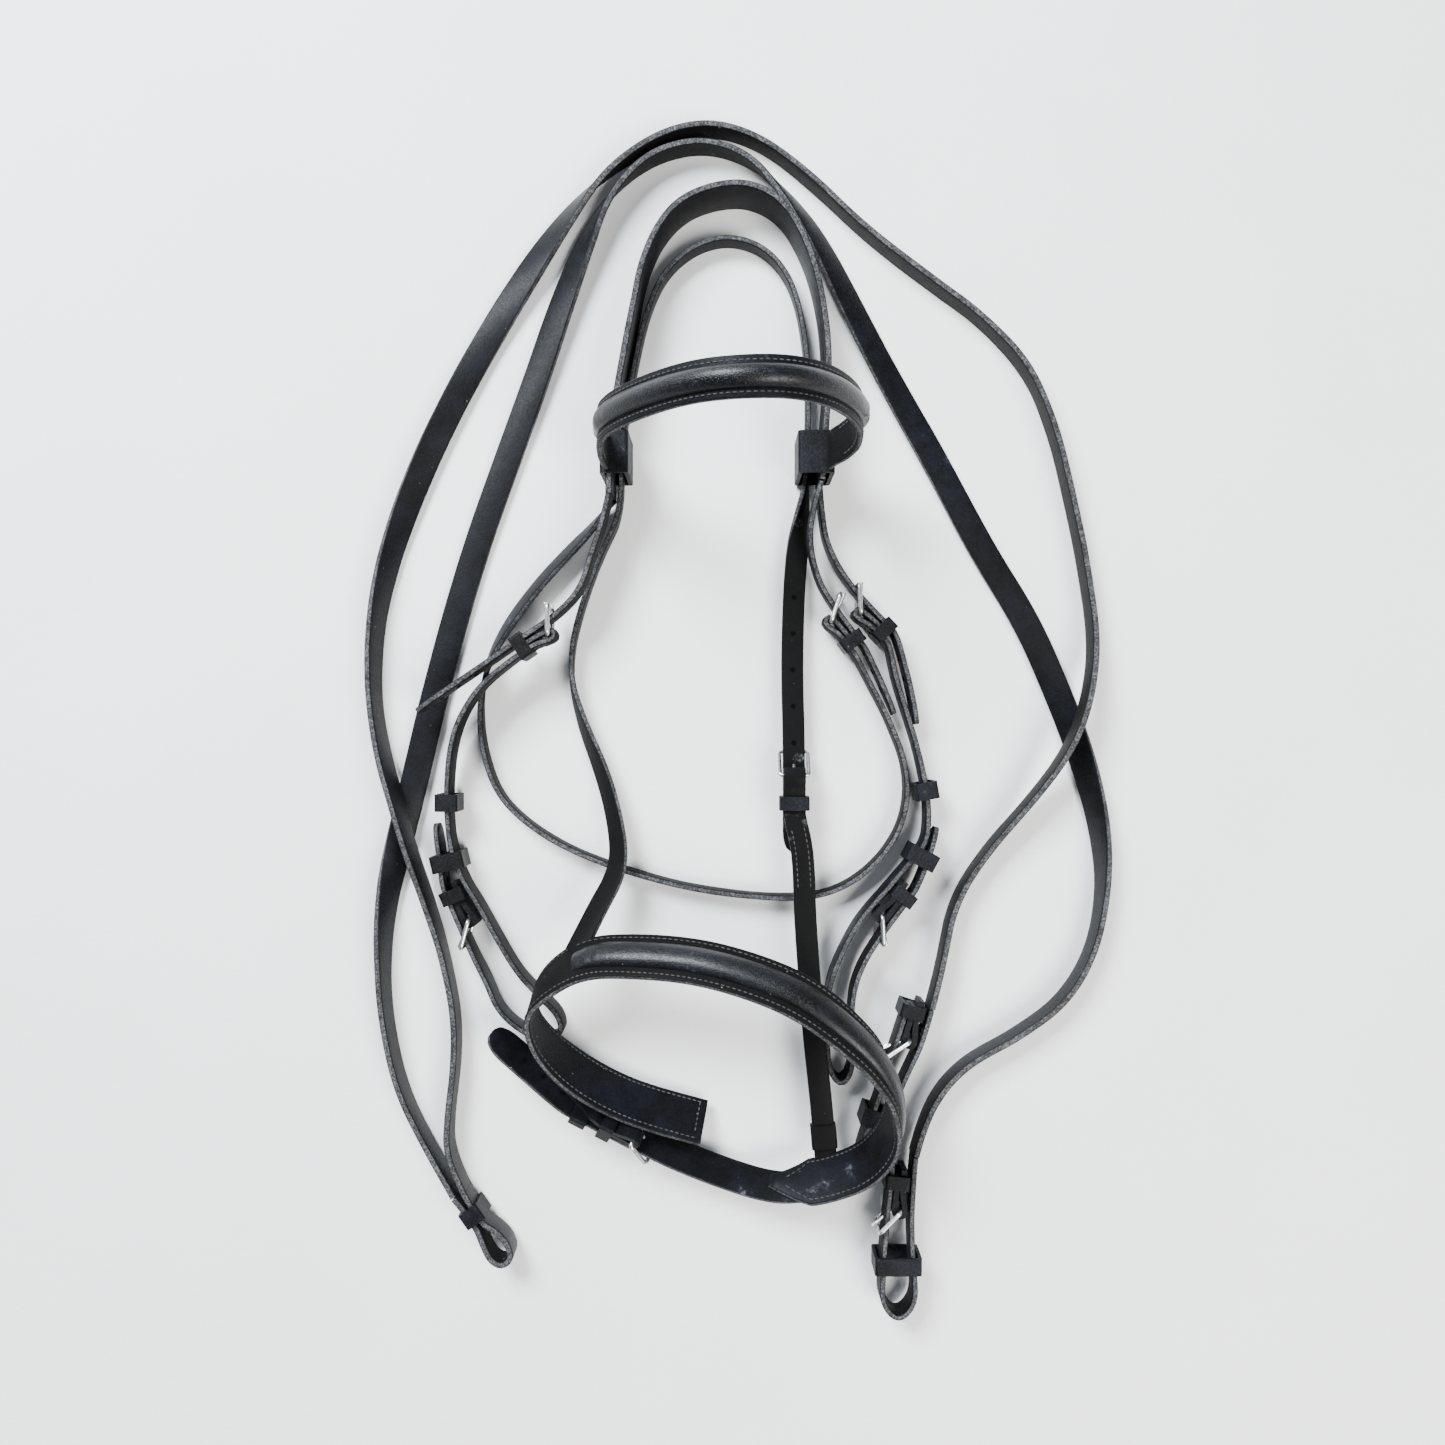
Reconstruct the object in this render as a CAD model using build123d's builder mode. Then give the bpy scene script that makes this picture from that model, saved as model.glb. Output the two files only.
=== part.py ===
from build123d import *
from math import cos, sin, tan, radians, sqrt
import os

# A leather bridle without its bit, laid out on a floor: +X right, +Y towards the crown, +Z up.
# Straps mostly stand on edge. All sizes are in millimetres.

# ---- driving dimensions ----
CROWN_WIDTH = 32.0        # headpiece over the poll
CROWN_THICK = 3.8
CHEEK_WIDTH = 16.0        # cheekpieces, their billets and the rein billets
THROAT_WIDTH = 13.0       # throatlash and the noseband's headstrap
STRAP_THICK = 3.2
REIN_WIDTH = 16.0
REIN_THICK = 3.8
NOSE_WIDTH = 28.0         # noseband lining
NOSE_THICK = 3.6
NOSE_ROLL_WIDTH = 14.0
NOSE_ROLL_THICK = 4.5
BACK_WIDTH = 19.0         # noseband billet
BROW_WIDTH = 21.0
BROW_THICK = 3.2
BROW_ROLL_WIDTH = 11.0
BROW_ROLL_THICK = 4.5
WIRE_DIAMETER = 2.6       # buckle frames
TONGUE_DIAMETER = 2.2
BUCKLE_LENGTH = 17.0      # heel bar to front bar, between centres
BUCKLE_SIDE_PLAY = 0.8    # strap edge to the frame's side bar
PIN_CLEARANCE = 0.08      # tongue eye on the heel bar, radial
EYE_WALL = 1.5
EYE_WIDTH = 2.4
LAYER_GAP = 0.2           # between strap layers lying together
BILLET_GAP = 0.5          # billet to the chape's fold
KEEPER_WALL = 1.8
KEEPER_LENGTH = 10.0
KEEPER_PLAY = 0.4
LOOP_WALL = 2.5
LOOP_LENGTH = 24.0
LOOP_PLAY = 0.6
TURN_BACK = 20.0          # chape past its heel bar
FLOOR_GAP = 0.2           # a strap's lower edge over the floor
MIDDLE = (2.875, -32.048, 0)   # the middle of the headstall on the floor, which is the part's origin
TIP_LENGTH = 9.0
TIP_SHARE = 0.45          # width left at a billet's tip
NOTCH_LENGTH = 12.5       # gap in a fold for the tongue's eye
NOTCH_SHIFT = 2.25        # ... its middle, from the heel bar towards the fold
NOTCH_PLAY = 0.4          # ... each side of the eye
KEEPER_FROM_HEEL = 16.5   # heel bar to the middle of a fixed keeper
ARC_STEP = 20.0           # degrees between sections along a bend
RUN_SHARE = 0.45          # share of the shorter run that a bend may use
STRAIGHT = 0.5            # degrees of turn that count as none
SLOT_LENGTH = 13.0        # hole in a billet, long enough for the tongue to lift

LAYER = STRAP_THICK + LAYER_GAP
FOLD_RADIUS = WIRE_DIAMETER / 2 + 0.2 + STRAP_THICK / 2
CHAPE_IN = STRAP_THICK + BILLET_GAP           # billet's middle to the chape's near layer
CHAPE_OUT = CHAPE_IN + LAYER                  # ... to its far layer, once they lie together
HEEL_OFFSET = CHAPE_IN + FOLD_RADIUS          # ... to the heel bar

os.makedirs("parts", exist_ok=True)
UP = Vector(0, 0, 1)


def write(body, name):
    """Label one finished piece and write its file."""
    placed = body.part.moved(Location(Vector(*MIDDLE) * -1))
    placed.label = name
    export_step(placed, f"parts/{name}.step")


# ---- routes: each point is a place and the direction of the strap's width ----

def laid(*points):
    """Points (x, y, z, lean): lean is the turn of the upper edge to the left of travel, in degrees."""
    places = [Vector(x, y, z) for x, y, z, lean in points]
    route = []
    for i, place in enumerate(places):
        ahead = places[min(i + 1, len(places) - 1)] - places[max(i - 1, 0)]
        left = UP.cross(ahead).normalized()
        lean = radians(points[i][3])
        route.append((place, UP * cos(lean) + left * sin(lean)))
    return route


def lying(width, thick, *points):
    """Points (x, y, lift, lean) of a strap whose lower edge is lifted off the floor by lift."""
    placed = []
    for x, y, lift, lean in points:
        turn = radians(lean)
        half = (width * abs(cos(turn)) + thick * abs(sin(turn))) / 2
        placed.append((x, y, half + FLOOR_GAP + lift, lean))
    return laid(*placed)


def upright(x, y, z):
    """One point of a strap that stands on edge."""
    return [(Vector(x, y, z), UP)]


def on(plane, *points):
    """Points (along, off) in a plane whose normal is the strap's width."""
    return [(plane.from_local_coords(Vector(u, v, 0)), plane.z_dir) for u, v in points]


def bend_radius(before, corner, after):
    """The largest tangent arc that a corner's two runs leave room for."""
    run_in, run_out = corner - before, after - corner
    half_turn = radians(run_in.get_angle(run_out)) / 2
    return RUN_SHARE * min(run_in.length, run_out.length) / tan(half_turn)


def sections(route):
    """Places, directions and width directions along straight runs joined by tangent arcs."""
    places = [place for place, across in route]
    result = [(places[0], (places[1] - places[0]).normalized(), route[0][1])]
    for i in range(1, len(places) - 1):
        before, corner, after = places[i - 1:i + 2]
        entry, leave = (corner - before).normalized(), (after - corner).normalized()
        turn = entry.get_angle(leave)
        if turn < STRAIGHT:
            result.append((corner, entry, route[i][1]))
            continue
        reach = bend_radius(before, corner, after) * tan(radians(turn) / 2)
        start = corner - entry * reach
        normal = (leave - entry * cos(radians(turn))).normalized()
        radius = bend_radius(before, corner, after)
        steps = max(1, round(turn / ARC_STEP))
        for k in range(steps + 1):
            angle = radians(turn * k / steps)
            place = start + entry * (radius * sin(angle)) + normal * (radius * (1 - cos(angle)))
            heading = entry * cos(angle) + normal * sin(angle)
            result.append((place, heading.normalized(), route[i][1]))
    result.append((places[-1], (places[-1] - places[-2]).normalized(), route[-1][1]))
    return result


def strap(route, width, thick, offset=0.0, tip=False, ends=(0, 0), span=200):
    """Add one strap to the part being built: a flat section lofted along a route, span sections at a time."""
    stations = sections(route)[ends[0]:len(sections(route)) - ends[1]]
    last = len(stations) - 1
    if tip:
        place, heading, across = stations[last]
        stations.insert(last, (place - heading * TIP_LENGTH, heading, across))
        last += 1
    faces = []
    for i, (place, heading, across) in enumerate(stations):
        side = (across - heading * across.dot(heading)).normalized()
        face = heading.cross(side)
        share = TIP_SHARE if tip and i == last else 1.0
        with BuildSketch(Plane(origin=place + face * offset, x_dir=side, z_dir=heading)) as cut:
            Rectangle(width * share, thick)
        faces.append(cut.sketch.face())
    for i in range(0, last, span):
        loft(faces[i:i + span + 1], ruled=True)


def route_length(route):
    """Length along the middle of a route, with its arcs."""
    stations = sections(route)
    return sum((b[0] - a[0]).length for a, b in zip(stations, stations[1:]))


# ---- buckles: where each sits, how its strap travels there, and which side the chape is on ----
# name: (x, y, z, travel heading, lean of the width, cock of the frame, chape side, strap width)
BUCKLES = {
    "cheek_left": (-72, 46, 24, -145.5, 0, 55, 1, CHEEK_WIDTH),
    "throat": (94, 54, 12, -53, 0, 55, -1, THROAT_WIDTH),
    "cheek_right": (109, 60, 12, -46, 0, 40, -1, CHEEK_WIDTH),
    "bit_left": (-123.5, -137, 12, 113, 0, 38, -1, CHEEK_WIDTH),
    "bit_right": (122.5, -135, 12, 52.5, 0, 40, 1, CHEEK_WIDTH),
    "noseband": (-17.6, -257.2, 16, 152.5, 44, 38, -1, BACK_WIDTH),
    "headstrap": (70, -37, 13, -90, -90, 38, 1, THROAT_WIDTH),
    "rein_outer": (128.5, -203, 12, 72, 0, 38, -1, CHEEK_WIDTH),
    "rein_inner": (124, -304, 12, 84, 0, 38, -1, CHEEK_WIDTH),
}


def seat(name):
    """The buckle's own plane: x with the billet's travel, y to its left, z along the width."""
    x, y, z, heading, lean = BUCKLES[name][:5]
    travel = Vector(cos(radians(heading)), sin(radians(heading)), 0)
    left = UP.cross(travel)
    across = UP * cos(radians(lean)) + left * sin(radians(lean))
    return Plane(origin=(x, y, z), x_dir=travel, z_dir=across)


def bars(name):
    """Heel bar and front bar in the buckle's plane."""
    cock, side = radians(BUCKLES[name][5]), BUCKLES[name][6]
    heel = Vector(cos(cock) * BUCKLE_LENGTH / 2, side * HEEL_OFFSET, 0)
    front = heel + Vector(-cos(cock), -side * sin(cock), 0) * BUCKLE_LENGTH
    return heel, front


def along(name, *points):
    """Points (along, off) of a strap at a buckle, with off counted towards the chape."""
    return on(seat(name), *[(u, BUCKLES[name][6] * v) for u, v in points])


def fold(name, run_out=TURN_BACK):
    """Chape points from the turned-back end, round the heel bar, to where the strap goes on."""
    u = bars(name)[0].X
    far = HEEL_OFFSET + FOLD_RADIUS
    return along(name, (u + TURN_BACK, CHAPE_IN), (u - FOLD_RADIUS, CHAPE_IN), (u - FOLD_RADIUS, far),
                 (u + 2, far), (u + 9, CHAPE_OUT), (u + run_out - 5, CHAPE_OUT), (u + run_out, CHAPE_OUT))


def tongue_gap(name):
    """Cut the notch in a fold that leaves the tongue's eye free."""
    plane = seat(name)
    origin = plane.from_local_coords(bars(name)[0])
    with BuildSketch(Plane(origin=origin, x_dir=plane.x_dir, z_dir=plane.z_dir)) as notch:
        with Locations((-NOTCH_SHIFT, 0)):
            Rectangle(NOTCH_LENGTH, 2 * (FOLD_RADIUS + STRAP_THICK))
    extrude(notch.sketch, amount=EYE_WIDTH / 2 + NOTCH_PLAY, both=True, mode=Mode.SUBTRACT)


def tongue_line(name):
    """Start and end of the tongue's middle line, over the front bar, and its lifting direction."""
    cock, side = radians(BUCKLES[name][5]), BUCKLES[name][6]
    heel, front = bars(name)
    outward = Vector(sin(cock), -side * cos(cock), 0)
    over = front + outward * ((WIRE_DIAMETER + TONGUE_DIAMETER) / 2 + PIN_CLEARANCE)
    reach = (over - heel).normalized()
    return heel, over + reach * TONGUE_DIAMETER, reach


def billet_hole(name):
    """Cut the hole that the tongue stands in, long enough for it to lift."""
    plane = seat(name)
    heel, tip, reach = tongue_line(name)
    crossing = heel.X - reach.X * heel.Y / reach.Y
    with BuildSketch(plane) as slot:
        with Locations((crossing + SLOT_LENGTH / 5, 0)):
            Rectangle(SLOT_LENGTH, 2 * STRAP_THICK)
    extrude(slot.sketch, amount=TONGUE_DIAMETER / 2 + 0.6, both=True, mode=Mode.SUBTRACT)


# ---- headpiece: crown, two cheek billets, throat billet and throatlash in one leather ----
CROWN = laid(
    (-37, 118, 19.5, 0), (-37, 150, 19.5, 0), (-33, 175, 18, 0), (-28, 203, 16.5, 0),
    (-23, 229, 16, 0), (-19, 250, 16, 0), (-10, 272, 16, 0), (4, 288, 16, 0),
    (24, 296, 16, 0), (44, 297, 16, 0), (63, 287, 16, 0), (76, 265, 16, 0),
    (84, 240, 16, 0), (88, 214, 16.5, 0), (89, 185, 18, 0), (87, 156, 19.5, 0), (85, 126, 19.5, 0))
SPLIT = CROWN_WIDTH / 2 - CHEEK_WIDTH / 2
THROAT_SPLIT = CROWN_WIDTH / 2 - THROAT_WIDTH / 2 - 0.5
CHEEK_BILLET_LEFT = laid(
    (-37, 118, 19.5 + SPLIT, 0), (-40, 104, 27, 0), (-47, 84, 26, 0), (-53, 64, 25, 0),
) + along("cheek_left", (-7, 0), (17, 0), (50, 0), (93, 0))
THROATLASH = upright(-37, 118, 19.5 - THROAT_SPLIT) + lying(
    THROAT_WIDTH, STRAP_THICK,
    (-46, 106, 0, 20), (-62, 90, 0, 32), (-85, 65, 0, 32),
    (-102, 41, 0, 30), (-112, 21, 0, 15), (-116, -3, 0, 5), (-114, -29, 0, 0),
    (-105, -56, 0, 0), (-85, -75, 0, 0), (-59, -90, 0, 0), (-26, -102, 0, 0),
    (9, -111, 0, 0), (44, -116, 0, 0), (80, -117, 0, 0), (103, -109, 0.5, 0), (124, -91, 1, 0),
    (136, -68, 2, 0), (137, -40, 3, 0), (126, -12, 4, 0), (115, 9, 5, 0)) + fold("throat", 25)[::-1]
THROAT_BILLET = laid(
    (85, 126, 19.5 + THROAT_SPLIT, 0), (80, 110, 25, 0), (78, 92, 20, 0), (83, 73, 14, 0),
) + along("throat", (-7, 0), (24, 0), (30, 0)) + laid((118, 17, 12, 0), (124, 4, 12, 0), (129, -8, 12, 0))
CHEEK_BILLET_RIGHT = laid(
    (85, 126, 19.5 - SPLIT, 0), (86, 110, 11.5, 0), (89, 90, 12, 0),
) + along("cheek_right", (-9, 0), (24, 0), (30, 0)) + laid((135, 19, 12, 0), (139, 3, 12, 0), (142, -14, 12, 0))

with BuildPart() as headpiece:
    strap(CROWN, CROWN_WIDTH, CROWN_THICK)
    strap(CHEEK_BILLET_LEFT, CHEEK_WIDTH, STRAP_THICK, tip=True)
    strap(THROATLASH, THROAT_WIDTH, STRAP_THICK)
    strap(THROAT_BILLET, THROAT_WIDTH, STRAP_THICK, tip=True)
    strap(CHEEK_BILLET_RIGHT, CHEEK_WIDTH, STRAP_THICK, tip=True)
    for buckle in ("cheek_left", "throat", "cheek_right"):
        billet_hole(buckle)
    tongue_gap("throat")
write(headpiece, "headpiece")

# ---- browband: a band arched over between two loops, with a raised roll on its outer face ----
BAND = [(Vector(*place), Vector(0, 1, 0)) for place in (
    (-38, 141, 38.9), (-38.5, 141, 47), (-39.5, 144, 63), (-36, 148, 84), (-16, 151, 109),
    (12, 153, 132), (39, 153, 142), (64, 154, 137), (85, 154, 118), (100, 152, 90), (103, 148, 66),
    (96, 143, 53), (89.5, 141, 46), (89, 141, 38.9))]
ROLL_OFFSET = (BROW_THICK + BROW_ROLL_THICK) / 2
with BuildPart() as browband_band:
    strap(BAND, BROW_WIDTH, BROW_THICK)
write(browband_band, "browband_band")
with BuildPart() as browband_roll:
    strap(BAND, BROW_ROLL_WIDTH, BROW_ROLL_THICK, offset=ROLL_OFFSET, ends=(6, 6))
write(browband_roll, "browband_roll")

LOOP_HEIGHT = CROWN_WIDTH + 2 * LOOP_PLAY
for side_name, low_x, high_x in (("left", -37, -30.5), ("right", 76, 87)):
    span = high_x - low_x + CROWN_THICK + 2 * LOOP_PLAY
    with BuildPart() as browband_loop:
        middle = Plane(origin=((low_x + high_x) / 2, 141, 19.5), x_dir=(1, 0, 0), z_dir=(0, -1, 0))
        with BuildSketch(middle):
            RectangleRounded(span + 2 * LOOP_WALL, LOOP_HEIGHT + 2 * LOOP_WALL, LOOP_WALL)
            Rectangle(span, LOOP_HEIGHT, mode=Mode.SUBTRACT)
        extrude(amount=LOOP_LENGTH / 2, both=True)
    write(browband_loop, f"browband_loop_{side_name}")

# ---- noseband: headstrap, right cheek strap, lining, roll, billet and chape ----
HEADSTRAP = laid(
    (-51, -134, 36, -60), (-43, -118, 31, -55), (-35, -104, 25, -52), (-32, -89, 19, -50),
    (-36, -66, 13, -45), (-44, -40, 9, -40), (-55, -14, 8, -25), (-62, 11, 7.2, -8),
    (-61, 35, 7, 0), (-53, 63, 7, 0), (-43, 88, 8.5, 0), (-31.5, 110, 10.5, 0),
    (-31.5, 152, 10.5, 0), (-27, 178, 9, 0), (-22, 209, 7, 0), (-15, 235, 7, 0), (-5, 255, 7, 0),
    (12, 269, 7, 0), (32, 274, 7, 0), (52, 268, 7, 0), (66, 253, 7, 0), (74, 231, 7, 0),
    (78, 203, 8, 0), (78.5, 176, 10, 0), (78, 149, 10.5, 0), (77.5, 128, 10.5, -5),
    (75, 108, 9.5, -40), (72, 88, 8.5, -85),
    (70, 58, 9, -90), (69, 18, 11, -90)) + along("headstrap", (-14, 0), (26, 0), (52, 0))
with BuildPart() as noseband_headstrap:
    strap(HEADSTRAP, THROAT_WIDTH, STRAP_THICK, tip=True, span=5)
    billet_hole("headstrap")
write(noseband_headstrap, "noseband_headstrap")

NOSE_CHEEK = fold("headstrap", 24) + laid(
    (74, -84, 21, -90), (75.5, -102, 20, -90), (76, -122, 20, -90), (77.5, -148, 21, -90),
    (80, -182, 21.5, -90), (83, -212, 21.5, -90), (86, -240, 19.5, -90), (88, -262, 18, -90))
with BuildPart() as noseband_cheek_strap:
    strap(NOSE_CHEEK, THROAT_WIDTH, STRAP_THICK)
    tongue_gap("headstrap")
write(noseband_cheek_strap, "noseband_cheek_strap")

NOSEBAND = laid(
    (17, -248, 15, 45), (-5, -242, 16, 45), (-32, -232, 19, 42), (-57, -216, 25, 36),
    (-76, -196, 32, 20), (-83, -177, 37, 0), (-72, -159, 42, -25), (-49, -144, 48, -40),
    (-21, -142, 55, -45), (11, -143, 62, -47), (40, -149, 68, -48), (70, -160, 72, -48),
    (94, -178, 72, -42), (113, -198, 66, -28), (124, -222, 55, -5), (123, -248, 42, 20),
    (110, -267, 32, 35), (89, -277, 26, 40), (70, -281, 23, 42), (55, -280, 21, 43))
with BuildPart() as noseband_lining:
    strap(NOSEBAND, NOSE_WIDTH, NOSE_THICK, span=8)
write(noseband_lining, "noseband_lining")
with BuildPart() as noseband_roll:
    strap(NOSEBAND, NOSE_ROLL_WIDTH, NOSE_ROLL_THICK, ends=(16, 8), span=8,
          offset=-(NOSE_THICK + NOSE_ROLL_THICK) / 2)
write(noseband_roll, "noseband_roll")

NOSE_BILLET = laid(
    (92, -279.5, 23.5, 41), (70, -284.5, 20, 42), (52, -284, 17.5, 43), (24, -276, 14.5, 44),
) + along("noseband", (-14, 0), (44, 0), (52, 0)) + laid((-84, -214, 20, 40), (-106, -193, 24, 38))
with BuildPart() as noseband_billet:
    strap(NOSE_BILLET, BACK_WIDTH, STRAP_THICK, tip=True)
    billet_hole("noseband")
write(noseband_billet, "noseband_billet")

# ---- cheekpieces: fold at the upper buckle, bit loop, and a billet back up to the bit buckle ----
CHEEK_LEFT = fold("cheek_left", 26) + laid(
    (-111, 9, 23.5, 0), (-123, -9, 22.5, 0), (-130, -27, 17, 0), (-133, -48, 12, 0),
    (-133, -67, 12, 0), (-131, -86, 12, 0)) + along("bit_left", (29, 12.2), (12, 15.2), (-8, 17)) + laid(
    (-92, -160, 11, 0), (-79, -174, 9, 0), (-68, -185, 8.5, 0), (-66, -196, 8.5, 0),
    (-77, -200, 8.5, 0), (-92, -193, 9, 0), (-104, -181, 10.5, 0), (-110, -165, 11.5, 0)) + along(
    "bit_left", (-10, 0), (26, 0), (31, 0), (47, 4.8), (66, 10))
CHEEK_RIGHT = fold("cheek_right", 25) + laid(
    (128.5, 15, 12, 0), (134, -2, 12, 0), (140, -21, 12, 0), (145, -41, 12, 0),
    (148, -57, 12, 0), (148.5, -70, 12, 0), (147, -84, 12, 0)) + along(
    "bit_right", (36, 13), (22, 13.5), (6, 15), (-10, 15)) + laid(
    (93, -158, 11, 0), (89, -176, 10, 0), (89, -202, 9.8, 0), (91, -218, 9.8, 0),
    (97.5, -226, 9.8, 0), (104, -218, 9.8, 0), (104, -200, 9.8, 0), (103.5, -178, 10, 0),
    (107, -161, 11.5, 0)) + along(
    "bit_right", (-10, 0), (26, 0), (31, 0), (46, 4), (67, 12))
for side_name, route in (("left", CHEEK_LEFT), ("right", CHEEK_RIGHT)):
    with BuildPart() as cheekpiece:
        strap(route, CHEEK_WIDTH, STRAP_THICK, tip=True)
        tongue_gap(f"cheek_{side_name}")
        billet_hole(f"bit_{side_name}")
    write(cheekpiece, f"cheekpiece_{side_name}")

# ---- chapes that hold the buckles at the bit, rein and noseband ends ----
for buckle, name in (("bit_left", "bit_chape_left"), ("bit_right", "bit_chape_right"),
                     ("rein_outer", "rein_chape_outer"), ("rein_inner", "rein_chape_inner")):
    with BuildPart() as chape:
        strap(fold(buckle, TURN_BACK + 4), CHEEK_WIDTH, STRAP_THICK)
        tongue_gap(buckle)
    write(chape, name)
NOSE_CHAPE = fold("noseband", TURN_BACK + 4) + laid(
    (-50.5, -230, 18.6, 40), (-59.9, -218.8, 22.1, 36), (-69.6, -208.9, 26.1, 28))
with BuildPart() as noseband_chape:
    strap(NOSE_CHAPE, BACK_WIDTH, STRAP_THICK)
    tongue_gap("noseband")
write(noseband_chape, "noseband_chape")

# ---- buckle frames and their tongues ----
for name, (x, y, z, heading, lean, cock, side, width) in BUCKLES.items():
    plane = seat(name)
    heel, front = bars(name)
    long_way = (front - heel).normalized()
    frame_plane = Plane(
        origin=plane.from_local_coords((heel + front) * 0.5),
        x_dir=plane.x_dir * long_way.X + plane.y_dir * long_way.Y,
        z_dir=plane.x_dir * -long_way.Y + plane.y_dir * long_way.X)
    height = width + 2 * BUCKLE_SIDE_PLAY + WIRE_DIAMETER
    with BuildSketch(frame_plane) as shape:
        RectangleRounded(BUCKLE_LENGTH, height, WIRE_DIAMETER * 0.8)
    rim = shape.sketch.face().outer_wire()
    with BuildPart() as buckle_frame:
        with BuildSketch(Plane(origin=rim @ 0, z_dir=rim % 0)):
            Circle(WIRE_DIAMETER / 2)
        sweep(path=rim)
    write(buckle_frame, f"buckle_{name}")

    start, end, reach = tongue_line(name)
    eye = Plane(origin=plane.from_local_coords(heel), x_dir=plane.x_dir, z_dir=plane.z_dir)
    inner = WIRE_DIAMETER / 2 + PIN_CLEARANCE
    with BuildPart() as tongue:
        with BuildSketch(eye):
            Circle(inner + EYE_WALL)
        extrude(amount=EYE_WIDTH / 2, both=True)
        shank_from = start + reach * (inner + EYE_WALL / 2)
        with BuildSketch(Plane(
                origin=plane.from_local_coords(shank_from),
                z_dir=plane.x_dir * reach.X + plane.y_dir * reach.Y)):
            Circle(TONGUE_DIAMETER / 2)
        extrude(amount=(end - shank_from).length)
        rims = tongue.edges().filter_by(GeomType.CIRCLE)
        fillet(rims.sort_by_distance(plane.from_local_coords(end))[0], TONGUE_DIAMETER * 0.3)
        with BuildSketch(eye):
            Circle(inner)
        extrude(amount=EYE_WIDTH, both=True, mode=Mode.SUBTRACT)
    write(tongue, f"tongue_{name}")


# ---- keepers: fixed ones beside the buckles, and loose runners on the straps ----
def keeper(name, plane, middle, layers, width, length=KEEPER_LENGTH):
    """A leather ring round a stack of straps; middle is its centre in the plane."""
    origin = plane.from_local_coords(Vector(*middle, 0))
    with BuildPart() as ring:
        with BuildSketch(Plane(origin=origin, x_dir=plane.y_dir, z_dir=plane.x_dir)):
            RectangleRounded(layers + 2 * (KEEPER_PLAY + KEEPER_WALL),
                             width + 2 * (KEEPER_PLAY + KEEPER_WALL), KEEPER_WALL)
            Rectangle(layers + 2 * KEEPER_PLAY, width + 2 * KEEPER_PLAY, mode=Mode.SUBTRACT)
        extrude(amount=length / 2, both=True)
    write(ring, name)


for name, spec in BUCKLES.items():
    heel_u = bars(name)[0].X
    keeper(f"keeper_{name}", seat(name), (heel_u + KEEPER_FROM_HEEL, spec[6] * CHAPE_OUT / 2),
           CHAPE_OUT + STRAP_THICK, spec[7], KEEPER_LENGTH * 0.8)


def place(x, y, z, heading):
    """An upright plane whose x runs along a strap."""
    travel = (cos(radians(heading)), sin(radians(heading)), 0)
    return Plane(origin=(x, y, z), x_dir=travel, z_dir=(0, 0, 1))


# name: (x, y, z, heading, thickness of what it holds)
RUNNERS = {
    "runner_cheek_left": (-133, -60, 12.2, -90, 9),
    "runner_cheek_right": (147.2, -53, 12, -80, 9),
    "runner_bit_left": (-132.6, -94.5, 12, 103, 15),
    "runner_bit_right": (144.5, -92, 12, 62, 14),
    "runner_rein_outer": (119.8, -245.4, 12, 72, 17),
    "runner_rein_inner": (130.5, -330, 12, 90, 23),
}
for name, (x, y, z, heading, layers) in RUNNERS.items():
    keeper(name, place(x, y, z, heading), (0, 0), layers, CHEEK_WIDTH)
keeper("runner_noseband", seat("noseband"), (40, 0), STRAP_THICK, BACK_WIDTH)

# ---- reins: two long straps, their billets with the bit loops, and the folded hand end ----
HAND = place(-118, -301, 12, -55)
HAND_SPREAD = REIN_THICK / 2 + 0.4
HAND_LOOP = on(
    HAND, (-14, -3.2), (-6, -HAND_SPREAD), (8, -HAND_SPREAD), (18, -5), (28, -6.5), (34.5, -2.5),
    (33, 5), (23, 7.5), (14, 5.5), (8, HAND_SPREAD), (-6, HAND_SPREAD), (-14, 3.2))
with BuildPart() as rein_hand_loop:
    strap(HAND_LOOP, REIN_WIDTH, REIN_THICK)
write(rein_hand_loop, "rein_hand_loop")
keeper("keeper_hand", HAND, (0, 0), 2 * HAND_SPREAD + REIN_THICK, REIN_WIDTH)

REIN_OUTER = on(HAND, (-14.3, 3.25), (-36, 6.2)) + lying(
    REIN_WIDTH, REIN_THICK,
    (-133.5, -243, 0, 0), (-129.5, -213, 0, 0), (-130, -183, 0, 0),
    (-137, -150, 0, 0), (-145, -119, 5, 5), (-153, -90, 13.6, 8), (-161, -63, 13.6, 10),
    (-173, -32, 2, 12), (-179, 0, 0, 10), (-179, 35, 0, 15), (-173, 73, 0.6, 30),
    (-161, 112, 0.8, 48), (-146, 149, 1, 62), (-127, 188, 1, 78), (-107, 224, 1, 92),
    (-87, 255, 1.5, 108), (-66, 284, 1.5, 132), (-44, 310, 1.2, 165), (-15, 331, 0.4, 180),
    (18, 341, 0, 180), (50, 332, 0, 180), (81, 308, 0, 180), (112, 278, 0, 180),
    (147, 251, 0, 180), (182, 226, 0, 180), (210, 196, 0, 180), (225, 158, 0, 180),
    (235, 116, 0, 180), (243, 76, 0, 180), (248, 35, 2, 180), (241, 0, 12, 180),
    (229, -30, 14, 180), (210, -58, 6, 180), (184, -89, 0, 180), (164, -120, 0, 180),
    (158, -153, 2, 180), (150.2, -181, 3.8, 180))
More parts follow.
